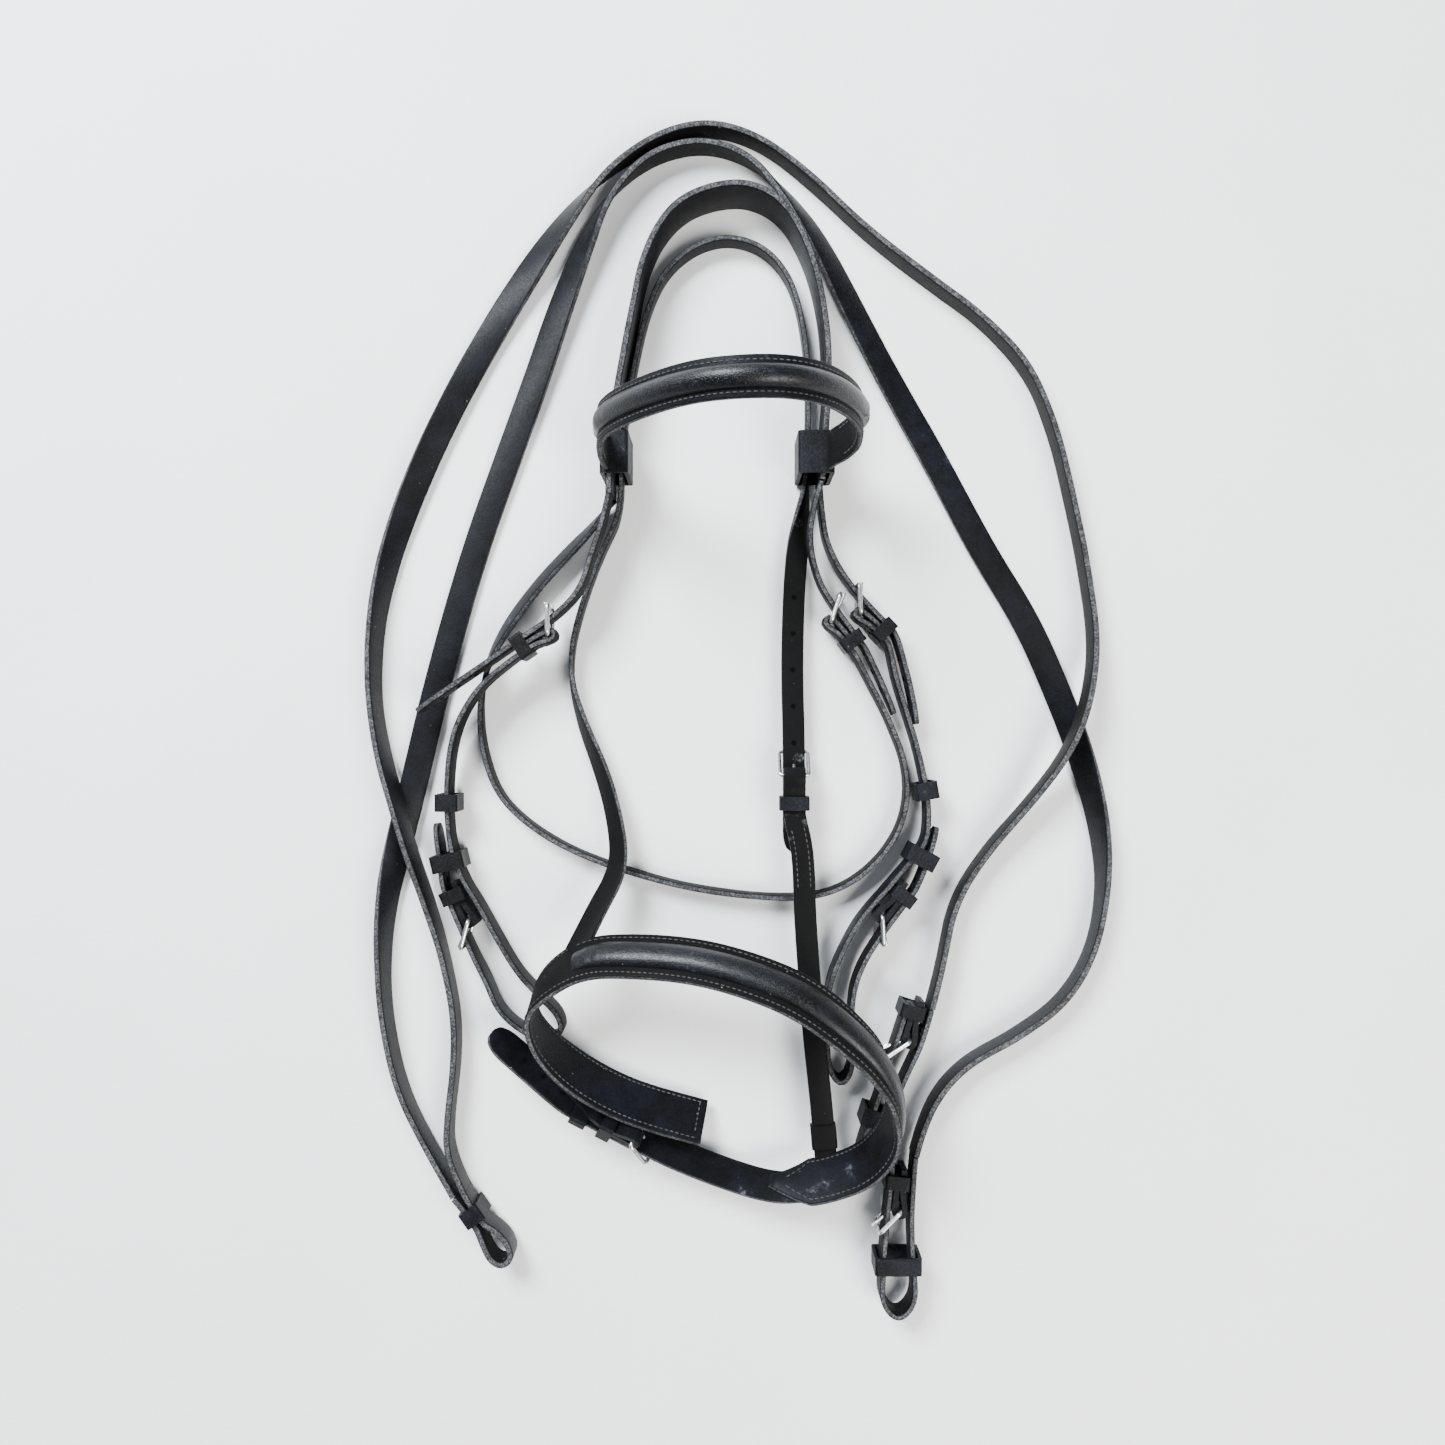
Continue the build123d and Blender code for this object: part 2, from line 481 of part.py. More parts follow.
REIN_INNER = on(HAND, (-14.3, -3.25)) + lying(
    REIN_WIDTH, REIN_THICK,
    (-146, -263, 1, 0), (-162, -232, 0, 3), (-171, -194, 0, 5), (-174, -155, 0, 10),
    (-171, -118, 1.8, 30), (-164, -83, 1.2, 66), (-155, -46, 0.8, 76), (-145, -1, 0.5, 86),
    (-134, 41, 0.3, 90), (-120, 89, 0.3, 90), (-103, 137, 0.4, 92), (-85, 185, 0.6, 98),
    (-70, 229, 1, 108), (-56, 266, 1.3, 128), (-40, 299, 1.2, 162), (-15, 322.5, 0.4, 180),
    (16, 330.5, 0, 180), (46, 320.5, 0.4, 174), (68, 297, 0.8, 150), (86, 271, 0.6, 132),
    (103, 237, 0.6, 120), (127, 191, 0.6, 108), (158, 137, 0.6, 98), (183, 90, 0.4, 90),
    (209, 48, 0.8, 82), (227, 6, 1.2, 68), (242, -35, 1.2, 50), (252, -76, 0.9, 25),
    (254, -111, 0.4, 5), (248, -147, 0, 0), (231, -177, 0, 0), (203, -198, 0, 0),
    (175, -212, 0, 0), (156, -230, 1, 0), (145, -252, 3, 0), (141, -267, 3.8, 0))
for name, route in (("rein_outer", REIN_OUTER), ("rein_inner", REIN_INNER)):
    with BuildPart() as rein:
        strap(route, REIN_WIDTH, REIN_THICK)
    write(rein, name)
    places = [at for at, across in route]
    radii = [bend_radius(*places[i - 1:i + 2]) for i in range(1, len(places) - 1)]
    length = route_length(route)
    print(name, "length", round(length), "volume share",
          round(rein.part.volume / (length * REIN_WIDTH * REIN_THICK), 4),
          "smallest radius", round(min(radii)), "radii", [round(r) for r in radii])

REIN_BILLET_OUTER = laid((150.1, -181.3, 12, 0), (145.5, -199, 12, 0)) + along(
    "rein_outer", (-14, 11.5), (-34, 10)) + laid(
    (120, -260, 11.8, 0), (118, -275, 10.5, 0), (113, -284, 10, 0), (107, -277, 10.5, 0),
    (109, -260, 11.8, 0)) + along("rein_outer", (-34, 0.5), (-10, 0), (27, 0))
REIN_BILLET_INNER = laid((140.9, -267.3, 12, 0), (138.5, -292, 12, 0), (138.5, -315, 12, 0),
                         (140, -335, 12, 0), (141, -353, 11, 0), (131, -364, 10.5, 0),
                         (121, -353, 11, 0), (122, -335, 12, 0)) + along(
    "rein_inner", (-14, 0), (36, 0))
for side_name, route in (("outer", REIN_BILLET_OUTER), ("inner", REIN_BILLET_INNER)):
    with BuildPart() as rein_billet:
        strap(route, CHEEK_WIDTH, STRAP_THICK, tip=True)
        billet_hole(f"rein_{side_name}")
    write(rein_billet, f"rein_billet_{side_name}")
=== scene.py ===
from bisect import bisect_right
from math import ceil, cos, radians, sin, sqrt

import bpy
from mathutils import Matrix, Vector, noise


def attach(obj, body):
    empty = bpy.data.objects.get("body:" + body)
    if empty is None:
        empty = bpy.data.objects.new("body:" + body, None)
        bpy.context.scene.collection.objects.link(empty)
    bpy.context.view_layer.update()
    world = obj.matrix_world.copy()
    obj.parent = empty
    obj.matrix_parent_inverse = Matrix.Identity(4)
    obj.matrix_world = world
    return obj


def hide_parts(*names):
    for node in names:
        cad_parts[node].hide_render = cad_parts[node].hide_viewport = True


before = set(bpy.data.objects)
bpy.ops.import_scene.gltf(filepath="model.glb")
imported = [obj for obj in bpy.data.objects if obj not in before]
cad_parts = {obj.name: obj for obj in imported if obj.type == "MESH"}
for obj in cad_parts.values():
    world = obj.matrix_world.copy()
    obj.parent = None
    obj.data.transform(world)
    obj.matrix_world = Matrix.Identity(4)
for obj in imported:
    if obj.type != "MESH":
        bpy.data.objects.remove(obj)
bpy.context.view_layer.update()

bl_info = {
    "name": "Bridle without its bit",
    "version": (1, 0, 0),
    "blender": (4, 5, 0),
    "location": "3D View > Sidebar > Bridle",
    "description": "A black leather bridle laid out on the floor, round its CAD frame",
    "category": "Object",
}

# ---- sizes shared by the routes, in metres ----
CROWN_WIDTH = 0.032
CROWN_THICK = 0.0038
CHEEK_WIDTH = 0.016
THROAT_WIDTH = 0.013
STRAP_THICK = 0.0032
REIN_WIDTH = 0.016
REIN_THICK = 0.0038
NOSE_WIDTH = 0.028
NOSE_THICK = 0.0036
NOSE_ROLL_WIDTH = 0.014
NOSE_ROLL_THICK = 0.0045
BACK_WIDTH = 0.019
BROW_WIDTH = 0.021
BROW_THICK = 0.0032
BROW_ROLL_WIDTH = 0.011
BROW_ROLL_THICK = 0.0045
WIRE_DIAMETER = 0.0026
BUCKLE_LENGTH = 0.017
LAYER_GAP = 0.0002
BILLET_GAP = 0.0005
TURN_BACK = 0.020
FLOOR_GAP = 0.0002
LAYER = STRAP_THICK + LAYER_GAP
FOLD_RADIUS = WIRE_DIAMETER / 2 + LAYER_GAP + STRAP_THICK / 2
CHAPE_IN = STRAP_THICK + BILLET_GAP
CHAPE_OUT = CHAPE_IN + LAYER
HEEL_OFFSET = CHAPE_IN + FOLD_RADIUS
MIDDLE = Vector((0.002875, -0.032048, 0))     # the part's origin in the layout's coordinates
UP = Vector((0, 0, 1))


# ---- routes: each point is a place and the direction of the strap's width ----

def laid(*points):
    """Points (x, y, z, lean): lean is the turn of the upper edge to the left of travel, in degrees."""
    places = [Vector(point[:3]) for point in points]
    route = []
    for i, place in enumerate(places):
        ahead = places[min(i + 1, len(places) - 1)] - places[max(i - 1, 0)]
        left = UP.cross(ahead).normalized()
        lean = radians(points[i][3])
        route.append((place, UP * cos(lean) + left * sin(lean)))
    return route


def lying(width, thick, *points):
    """Points (x, y, lift, lean) of a strap whose lower edge is lifted off the floor by lift."""
    placed = []
    for x, y, lift, lean in points:
        turn = radians(lean)
        half = (width * abs(cos(turn)) + thick * abs(sin(turn))) / 2
        placed.append((x, y, half + FLOOR_GAP + lift, lean))
    return laid(*placed)


def upright(x, y, z):
    """One point of a strap that stands on edge."""
    return [(Vector((x, y, z)), UP)]


# name: (x, y, z, travel heading, lean of the width, cock of the frame, chape side)
BUCKLES = {
    "cheek_left": (-0.072, 0.046, 0.024, -145.5, 0, 55, 1),
    "throat": (0.094, 0.054, 0.012, -53, 0, 55, -1),
    "cheek_right": (0.109, 0.060, 0.012, -46, 0, 40, -1),
    "bit_left": (-0.1235, -0.137, 0.012, 113, 0, 38, -1),
    "bit_right": (0.1225, -0.135, 0.012, 52.5, 0, 40, 1),
    "noseband": (-0.0176, -0.2572, 0.016, 152.5, 44, 38, -1),
    "headstrap": (0.070, -0.037, 0.013, -90, -90, 38, 1),
    "rein_outer": (0.1285, -0.203, 0.012, 72, 0, 38, -1),
    "rein_inner": (0.124, -0.304, 0.012, 84, 0, 38, -1),
}


def place(x, y, z, heading, lean=0):
    """A seat: its origin, the strap's travel, the left of travel in the seat, and the strap's width."""
    travel = Vector((cos(radians(heading)), sin(radians(heading)), 0))
    left = UP.cross(travel)
    across = UP * cos(radians(lean)) + left * sin(radians(lean))
    return Vector((x, y, z)), travel, across.cross(travel), across


def on(seat, *points):
    """Points (along, off) in a seat."""
    origin, travel, left, across = seat
    return [(origin + travel * u + left * v, across) for u, v in points]


def along(name, *points):
    """Points (along, off) of a strap at a buckle, with off counted towards the chape."""
    return on(place(*BUCKLES[name][:5]), *[(u, BUCKLES[name][6] * v) for u, v in points])


def fold(name, run_out):
    """Chape points from the turned-back end, round the heel bar, to where the strap goes on."""
    u = cos(radians(BUCKLES[name][5])) * BUCKLE_LENGTH / 2
    far = HEEL_OFFSET + FOLD_RADIUS
    return along(name, (u + TURN_BACK, CHAPE_IN), (u - FOLD_RADIUS, CHAPE_IN), (u - FOLD_RADIUS, far),
                 (u + 0.002, far), (u + 0.009, CHAPE_OUT), (u + run_out - 0.005, CHAPE_OUT),
                 (u + run_out, CHAPE_OUT))


SPLIT = (CROWN_WIDTH - CHEEK_WIDTH) / 2
THROAT_SPLIT = (CROWN_WIDTH - THROAT_WIDTH) / 2 - 0.0005
HAND = place(-0.118, -0.301, 0.012, -55)
HAND_SPREAD = REIN_THICK / 2 + 0.0004

# the headpiece over the poll, from the left loop to the right one
CROWN = laid(
    (-0.037, 0.118, 0.0195, 0), (-0.037, 0.15, 0.0195, 0), (-0.033, 0.175, 0.018, 0),
    (-0.028, 0.203, 0.0165, 0), (-0.023, 0.229, 0.016, 0), (-0.019, 0.25, 0.016, 0),
    (-0.01, 0.272, 0.016, 0), (0.004, 0.288, 0.016, 0), (0.024, 0.296, 0.016, 0),
    (0.044, 0.297, 0.016, 0), (0.063, 0.287, 0.016, 0), (0.076, 0.265, 0.016, 0),
    (0.084, 0.24, 0.016, 0), (0.088, 0.214, 0.0165, 0), (0.089, 0.185, 0.018, 0),
    (0.087, 0.156, 0.0195, 0), (0.085, 0.126, 0.0195, 0))

# the straps that the headpiece splits into below the browband
CHEEK_BILLET_LEFT = laid(
    (-0.037, 0.118, 0.0195 + SPLIT, 0), (-0.04, 0.104, 0.027, 0), (-0.047, 0.084, 0.026, 0),
    (-0.053, 0.064, 0.025, 0),
) + along("cheek_left", (-0.007, 0), (0.017, 0), (0.05, 0), (0.093, 0))
THROATLASH = upright(-0.037, 0.118, 0.0195 - THROAT_SPLIT) + lying(
    THROAT_WIDTH, STRAP_THICK,
    (-0.046, 0.106, 0, 20), (-0.062, 0.09, 0, 32), (-0.085, 0.065, 0, 32), (-0.102, 0.041, 0, 30),
    (-0.112, 0.021, 0, 15), (-0.116, -0.003, 0, 5), (-0.114, -0.029, 0, 0), (-0.105, -0.056, 0, 0),
    (-0.085, -0.075, 0, 0), (-0.059, -0.09, 0, 0), (-0.026, -0.102, 0, 0), (0.009, -0.111, 0, 0),
    (0.044, -0.116, 0, 0), (0.08, -0.117, 0, 0), (0.103, -0.109, 0.0005, 0), (0.124, -0.091, 0.001, 0),
    (0.136, -0.068, 0.002, 0), (0.137, -0.04, 0.003, 0), (0.126, -0.012, 0.004, 0),
    (0.115, 0.009, 0.005, 0)) + fold("throat", 0.025)[::-1]
THROAT_BILLET = laid(
    (0.085, 0.126, 0.0195 + THROAT_SPLIT, 0), (0.08, 0.11, 0.025, 0), (0.078, 0.092, 0.02, 0),
    (0.083, 0.073, 0.014, 0),
) + along("throat", (-0.007, 0), (0.024, 0), (0.03, 0)) + laid(
    (0.118, 0.017, 0.012, 0), (0.124, 0.004, 0.012, 0), (0.129, -0.008, 0.012, 0))
CHEEK_BILLET_RIGHT = laid(
    (0.085, 0.126, 0.0195 - SPLIT, 0), (0.086, 0.11, 0.0115, 0), (0.089, 0.09, 0.012, 0),
) + along("cheek_right", (-0.009, 0), (0.024, 0), (0.03, 0)) + laid(
    (0.135, 0.019, 0.012, 0), (0.139, 0.003, 0.012, 0), (0.142, -0.014, 0.012, 0))

# the browband, which arches over the floor
BAND = [(Vector(spot), Vector((0, 1, 0))) for spot in (
    (-0.038, 0.141, 0.0389), (-0.0385, 0.141, 0.047), (-0.0395, 0.144, 0.063), (-0.036, 0.148, 0.084),
    (-0.016, 0.151, 0.109), (0.012, 0.153, 0.132), (0.039, 0.153, 0.142), (0.064, 0.154, 0.137),
    (0.085, 0.154, 0.118), (0.1, 0.152, 0.09), (0.103, 0.148, 0.066), (0.096, 0.143, 0.053),
    (0.0895, 0.141, 0.046), (0.089, 0.141, 0.0389))]

# the noseband: its long strap over the poll and its short one on the right
HEADSTRAP = laid(
    (-0.0555, -0.1435, 0.0395, -60), (-0.043, -0.118, 0.031, -55), (-0.035, -0.104, 0.025, -52),
    (-0.032, -0.089, 0.019, -50), (-0.036, -0.066, 0.013, -45), (-0.044, -0.04, 0.009, -40),
    (-0.055, -0.014, 0.008, -25), (-0.062, 0.011, 0.0072, -8), (-0.061, 0.035, 0.007, 0),
    (-0.053, 0.063, 0.007, 0), (-0.043, 0.088, 0.0085, 0), (-0.0315, 0.11, 0.0105, 0),
    (-0.0315, 0.152, 0.0105, 0), (-0.027, 0.178, 0.009, 0), (-0.022, 0.209, 0.007, 0),
    (-0.015, 0.235, 0.007, 0), (-0.005, 0.255, 0.007, 0), (0.012, 0.269, 0.007, 0),
    (0.032, 0.274, 0.007, 0), (0.052, 0.268, 0.007, 0), (0.066, 0.253, 0.007, 0),
    (0.074, 0.231, 0.007, 0), (0.078, 0.203, 0.008, 0), (0.0785, 0.176, 0.01, 0),
    (0.078, 0.149, 0.0105, 0), (0.0775, 0.128, 0.0105, -5), (0.075, 0.108, 0.0095, -40),
    (0.072, 0.088, 0.0085, -85), (0.07, 0.058, 0.009, -90),
    (0.069, 0.018, 0.011, -90)) + along("headstrap", (-0.014, 0), (0.026, 0), (0.052, 0))

NOSE_CHEEK = fold("headstrap", 0.024) + laid(
    (0.074, -0.084, 0.021, -90), (0.0755, -0.102, 0.02, -90), (0.076, -0.122, 0.02, -90),
    (0.0775, -0.148, 0.021, -90), (0.08, -0.182, 0.0215, -90), (0.083, -0.212, 0.0215, -90),
    (0.086, -0.24, 0.0195, -90), (0.0885, -0.2685, 0.0165, -90))

# ... its stiff front, from the stitched tab round to the pointed end
NOSEBAND = laid(
    (0.017, -0.248, 0.015, 45), (-0.005, -0.242, 0.016, 45), (-0.032, -0.232, 0.019, 42),
    (-0.057, -0.216, 0.025, 36), (-0.076, -0.196, 0.032, 20), (-0.083, -0.177, 0.037, 0),
    (-0.072, -0.159, 0.042, -25), (-0.049, -0.144, 0.048, -40), (-0.021, -0.142, 0.055, -45),
    (0.011, -0.143, 0.062, -47), (0.04, -0.149, 0.068, -48), (0.07, -0.16, 0.072, -48),
    (0.094, -0.178, 0.072, -42), (0.113, -0.198, 0.066, -28), (0.124, -0.222, 0.055, -5),
    (0.123, -0.248, 0.042, 20), (0.11, -0.267, 0.032, 35), (0.089, -0.277, 0.026, 40),
    (0.07, -0.281, 0.023, 42), (0.055, -0.28, 0.021, 43))

# ... and the strap that closes it under the jaw
NOSE_BILLET = laid(
    (0.092, -0.2795, 0.0235, 41), (0.07, -0.2845, 0.02, 42), (0.052, -0.284, 0.0175, 43),
    (0.024, -0.276, 0.0145, 44),
) + along("noseband", (-0.014, 0), (0.044, 0), (0.052, 0)) + laid(
    (-0.084, -0.214, 0.02, 40), (-0.106, -0.193, 0.024, 38))

# the cheekpieces: folded at the top buckle, round the bit and back up to a buckle
CHEEK_LEFT = fold("cheek_left", 0.026) + laid(
    (-0.111, 0.009, 0.0235, 0), (-0.123, -0.009, 0.0225, 0), (-0.13, -0.027, 0.017, 0),
    (-0.133, -0.048, 0.012, 0), (-0.133, -0.067, 0.012, 0), (-0.131, -0.086, 0.012, 0)) + along(
    "bit_left", (0.029, 0.0122), (0.012, 0.0152), (-0.008, 0.017)) + laid(
    (-0.092, -0.16, 0.011, 0), (-0.079, -0.174, 0.009, 0), (-0.068, -0.185, 0.0085, 0),
    (-0.066, -0.196, 0.0085, 0), (-0.077, -0.2, 0.0085, 0), (-0.092, -0.193, 0.009, 0),
    (-0.104, -0.181, 0.0105, 0), (-0.11, -0.165, 0.0115, 0)) + along(
    "bit_left", (-0.01, 0), (0.026, 0), (0.031, 0), (0.047, 0.0048), (0.066, 0.01))
CHEEK_RIGHT = fold("cheek_right", 0.025) + laid(
    (0.1285, 0.015, 0.012, 0), (0.134, -0.002, 0.012, 0), (0.14, -0.021, 0.012, 0),
    (0.145, -0.041, 0.012, 0), (0.148, -0.057, 0.012, 0), (0.1485, -0.07, 0.012, 0),
    (0.147, -0.084, 0.012, 0)) + along(
    "bit_right", (0.036, 0.013), (0.022, 0.0135), (0.006, 0.015), (-0.01, 0.015)) + laid(
    (0.093, -0.158, 0.011, 0), (0.089, -0.176, 0.01, 0), (0.089, -0.202, 0.0098, 0),
    (0.091, -0.218, 0.0098, 0), (0.0975, -0.226, 0.0098, 0), (0.104, -0.218, 0.0098, 0),
    (0.104, -0.2, 0.0098, 0), (0.1035, -0.178, 0.01, 0), (0.107, -0.161, 0.0115, 0)) + along(
    "bit_right", (-0.01, 0), (0.026, 0), (0.031, 0), (0.046, 0.004), (0.067, 0.012))

# the reins: their folded hand end, the two long straps and the ends that hold the bit
HAND_LOOP = on(
    HAND,
    (-0.014, -0.0032), (-0.006, -HAND_SPREAD), (0.008, -HAND_SPREAD), (0.018, -0.005),
    (0.028, -0.0065), (0.0345, -0.0025), (0.033, 0.005), (0.023, 0.0075), (0.014, 0.0055),
    (0.008, HAND_SPREAD), (-0.006, HAND_SPREAD), (-0.014, 0.0032))

REIN_OUTER = on(HAND, (-0.0143, 0.00325), (-0.036, 0.0062)) + lying(
    REIN_WIDTH, REIN_THICK,
    (-0.1335, -0.243, 0, 0), (-0.1295, -0.213, 0, 0), (-0.13, -0.183, 0, 0), (-0.137, -0.15, 0, 0),
    (-0.145, -0.119, 0.005, 5), (-0.153, -0.09, 0.0136, 8), (-0.161, -0.063, 0.0136, 10),
    (-0.173, -0.032, 0.002, 12), (-0.179, 0, 0, 10), (-0.179, 0.035, 0, 15),
    (-0.173, 0.073, 0.0006, 30), (-0.161, 0.112, 0.0008, 48), (-0.146, 0.149, 0.001, 62),
    (-0.127, 0.188, 0.001, 78), (-0.107, 0.224, 0.001, 92), (-0.087, 0.255, 0.0015, 108),
    (-0.066, 0.284, 0.0015, 132), (-0.044, 0.31, 0.0012, 165), (-0.015, 0.331, 0.0004, 180),
    (0.018, 0.341, 0, 180), (0.05, 0.332, 0, 180), (0.081, 0.308, 0, 180), (0.112, 0.278, 0, 180),
    (0.147, 0.251, 0, 180), (0.182, 0.226, 0, 180), (0.21, 0.196, 0, 180), (0.225, 0.158, 0, 180),
    (0.235, 0.116, 0, 180), (0.243, 0.076, 0, 180), (0.248, 0.035, 0.002, 180), (0.241, 0, 0.012, 180),
    (0.229, -0.03, 0.014, 180), (0.21, -0.058, 0.006, 180), (0.184, -0.089, 0, 180),
    (0.164, -0.12, 0, 180), (0.158, -0.153, 0.002, 180), (0.1502, -0.181, 0.0038, 180))
REIN_INNER = on(HAND, (-0.0143, -0.00325)) + lying(
    REIN_WIDTH, REIN_THICK,
    (-0.146, -0.263, 0.001, 0), (-0.162, -0.232, 0, 3), (-0.171, -0.194, 0, 5), (-0.174, -0.155, 0, 10),
    (-0.171, -0.118, 0.0018, 30), (-0.164, -0.083, 0.0012, 66), (-0.155, -0.046, 0.0008, 76),
    (-0.145, -0.001, 0.0005, 86), (-0.134, 0.041, 0.0003, 90), (-0.12, 0.089, 0.0003, 90),
    (-0.103, 0.137, 0.0004, 92), (-0.085, 0.185, 0.0006, 98), (-0.07, 0.229, 0.001, 108),
    (-0.056, 0.266, 0.0013, 128), (-0.04, 0.299, 0.0012, 162), (-0.015, 0.3225, 0.0004, 180),
    (0.016, 0.3305, 0, 180), (0.046, 0.3205, 0.0004, 174), (0.068, 0.297, 0.0008, 150),
    (0.086, 0.271, 0.0006, 132), (0.103, 0.237, 0.0006, 120), (0.127, 0.191, 0.0006, 108),
    (0.158, 0.137, 0.0006, 98), (0.183, 0.09, 0.0004, 90), (0.209, 0.048, 0.0008, 82),
    (0.227, 0.006, 0.0012, 68), (0.242, -0.035, 0.0012, 50), (0.252, -0.076, 0.0009, 25),
    (0.254, -0.111, 0.0004, 5), (0.248, -0.147, 0, 0), (0.231, -0.177, 0, 0), (0.203, -0.198, 0, 0),
    (0.175, -0.212, 0, 0), (0.156, -0.23, 0.001, 0), (0.145, -0.252, 0.003, 0),
    (0.141, -0.267, 0.0038, 0))

REIN_BILLET_OUTER = laid((0.1501, -0.1813, 0.012, 0), (0.1455, -0.199, 0.012, 0)) + along(
    "rein_outer", (-0.014, 0.0115), (-0.034, 0.01)) + laid(
    (0.12, -0.26, 0.0118, 0), (0.118, -0.275, 0.0105, 0), (0.113, -0.284, 0.01, 0),
    (0.107, -0.277, 0.0105, 0),
    (0.109, -0.26, 0.0118, 0)) + along("rein_outer", (-0.034, 0.0005), (-0.01, 0), (0.027, 0))
REIN_BILLET_INNER = laid((0.1409, -0.2673, 0.012, 0), (0.1385, -0.292, 0.012, 0), (0.1385, -0.315, 0.012,
    0),
                         (0.14, -0.335, 0.012, 0), (0.141, -0.353, 0.011, 0), (0.131, -0.364, 0.0105, 0),
                         (0.121, -0.353, 0.011, 0), (0.122, -0.335, 0.012, 0)) + along(
    "rein_inner", (-0.014, 0), (0.036, 0))


# ---- settings that a user would change ----

def colour_setting(name, description, default):
    """A colour that a user can set."""
    return bpy.props.FloatVectorProperty(
        name=name, description=description, subtype="COLOR", default=default)


def length_setting(name, description, default):
    """A length that a user can set."""
    return bpy.props.FloatProperty(
        name=name, description=description, unit="LENGTH", default=default)


class BridleLeather(bpy.types.PropertyGroup):
    """Colours and wear of the leather, with a painted sheen on the grain and a painted highlight on the
    cut edges.
    """
    face: colour_setting("Grain side", "Colour of the dyed grain side", (0.0008, 0.0009, 0.0013))
    # painted sheen: a lighter, bluer grain colour that stands for the leather's highlight
    sheen: colour_setting("Grain highlights", "Colour of the rubbed grain", (0.0036, 0.0043, 0.0076))
    flesh: colour_setting("Flesh side", "Colour of the rough inner side", (0.0018, 0.00175, 0.0018))
    # painted highlight: the cut edge's light grey is partly the wear of used leather and partly a
    # highlight painted along the edge
    edge: colour_setting("Cut edge", "Colour of the worn cut edge", (0.125, 0.127, 0.134))
    scuff: colour_setting("Scuffs", "Colour of scraped places", (0.22, 0.23, 0.24))
    thread: colour_setting("Thread", "Colour of the stitching", (0.045, 0.045, 0.047))
    grain_size: length_setting("Grain size", "Width of one grain cell", 0.0009)
    edge_round: length_setting("Edge rounding", "Radius of a strap's rubbed corners", 0.0009)


class BridleSteel(bpy.types.PropertyGroup):
    """Finish of the buckles."""
    colour: colour_setting("Steel", "Colour of the buckles", (0.74, 0.74, 0.73))
    roughness: bpy.props.FloatProperty(
        name="Roughness", description="Roughness of polished wire", min=0, max=1, default=0.2)


class BridleStitching(bpy.types.PropertyGroup):
    """Sizes of the sewing."""
    pitch: length_setting("Pitch", "From one stitch to the next", 0.0032)
    length: length_setting("Stitch", "Length of one stitch", 0.0024)
    width: length_setting("Thread width", "Width of one stitch", 0.0008)
    inset: length_setting("Inset", "From a strap's edge to its row of stitches", 0.0028)


class BridleStage(bpy.types.PropertyGroup):
    """Floor, light and camera."""
    floor: colour_setting("Floor", "Colour of the floor", (0.92, 0.92, 0.92))
    height: length_setting("Camera height", "From the floor to the camera", 0.70)
    view: bpy.props.FloatVectorProperty(
        name="Aim", description="Point on the floor below the camera, in the layout's coordinates",
        size=2, unit="LENGTH", default=(0.028, -0.013))
    lens: bpy.props.FloatProperty(
        name="Focal length", description="On a 36 mm wide sensor", default=29.06)


# ---- shaders ----

LEATHER_RELIEF = 0.00026
THREAD_RELIEF = 0.0001
FIBRE_RELIEF = 0.0001
SCRATCH_RELIEF = 0.00003
FLOOR_RELIEF = 0.0002

class Socket:
    """One output socket, or a number, in a shader expression."""

    def __init__(self, shader, value):
        self.shader, self.value = shader, value

    def _with(self, operation, first, second):
        return self.shader.node("Math", {"operation": operation}, [first, second])

    def __add__(self, other):
        return self._with("ADD", self, other)

    def __radd__(self, other):
        return self._with("ADD", other, self)

    def __mul__(self, other):
        return self._with("MULTIPLY", self, other)

    def __rmul__(self, other):
        return self._with("MULTIPLY", other, self)

    def between(self, low, high):
        """0 below low, 1 above high, and smooth between them."""
        return self.shader.node(
            "MapRange", {"interpolation_type": "SMOOTHSTEP"},
            {"Value": self, "From Min": low, "From Max": high})


class Shader:
    """A material whose nodes are written as expressions."""

    def __init__(self, name):
        self.material = bpy.data.materials.new(name)
        self.material.use_nodes = True
        self.tree = self.material.node_tree
        self.surface = self.tree.nodes["Principled BSDF"]

    def node(self, kind, settings=None, inputs=None, output=0):
        """Add one node, set it, fill its sockets, and return one of its outputs."""
        made = self.tree.nodes.new("ShaderNode" + kind)
        for key, value in (settings or {}).items():
            setattr(made, key, value)
        pairs = enumerate(inputs) if isinstance(inputs, list) else (inputs or {}).items()
        for key, value in pairs:
            self.fill(made.inputs[key], value)
        return Socket(self, made.outputs[output])

    def fill(self, socket, value):
        """Link or set one socket."""
        if isinstance(value, Socket):
            self.tree.links.new(value.value, socket)
        elif isinstance(value, (tuple, list)) and socket.type == "RGBA":
            socket.default_value = (*value[:3], 1)
        else:
            socket.default_value = value

    def mix(self, share, first, second):
        """Mix two colours."""
        made = self.tree.nodes.new("ShaderNodeMix")
        made.data_type = "RGBA"
        for name, value in (("Factor_Float", share), ("A_Color", first), ("B_Color", second)):
            socket = next(s for s in made.inputs if s.identifier == name)
            self.fill(socket, value)
        return Socket(self, next(s for s in made.outputs if s.identifier == "Result_Color"))

    def coordinates(self):
        """The piece's own coordinates, in metres."""
        return self.node("TexCoord", output="Object")

    def noise(self, scale, detail=3.0, roughness=0.5, vector=None):
        """Noise with scale cells to the metre."""
        return self.node("TexNoise", {}, {
            "Vector": vector or self.coordinates(),
            "Scale": scale, "Detail": detail, "Roughness": roughness})

    def attribute(self, name):
        """A number stored on the piece's points."""
        return self.node("Attribute", {"attribute_name": name}, {}, output="Fac")

    def relief(self, height, distance):
        """Bump that feeds the surface's normal."""
        self.surface_input("Normal", self.node("Bump", {}, {"Height": height, "Distance": distance}))

    def surface_input(self, name, value):
        """Fill one socket of the surface."""
        self.fill(self.surface.inputs[name], value)


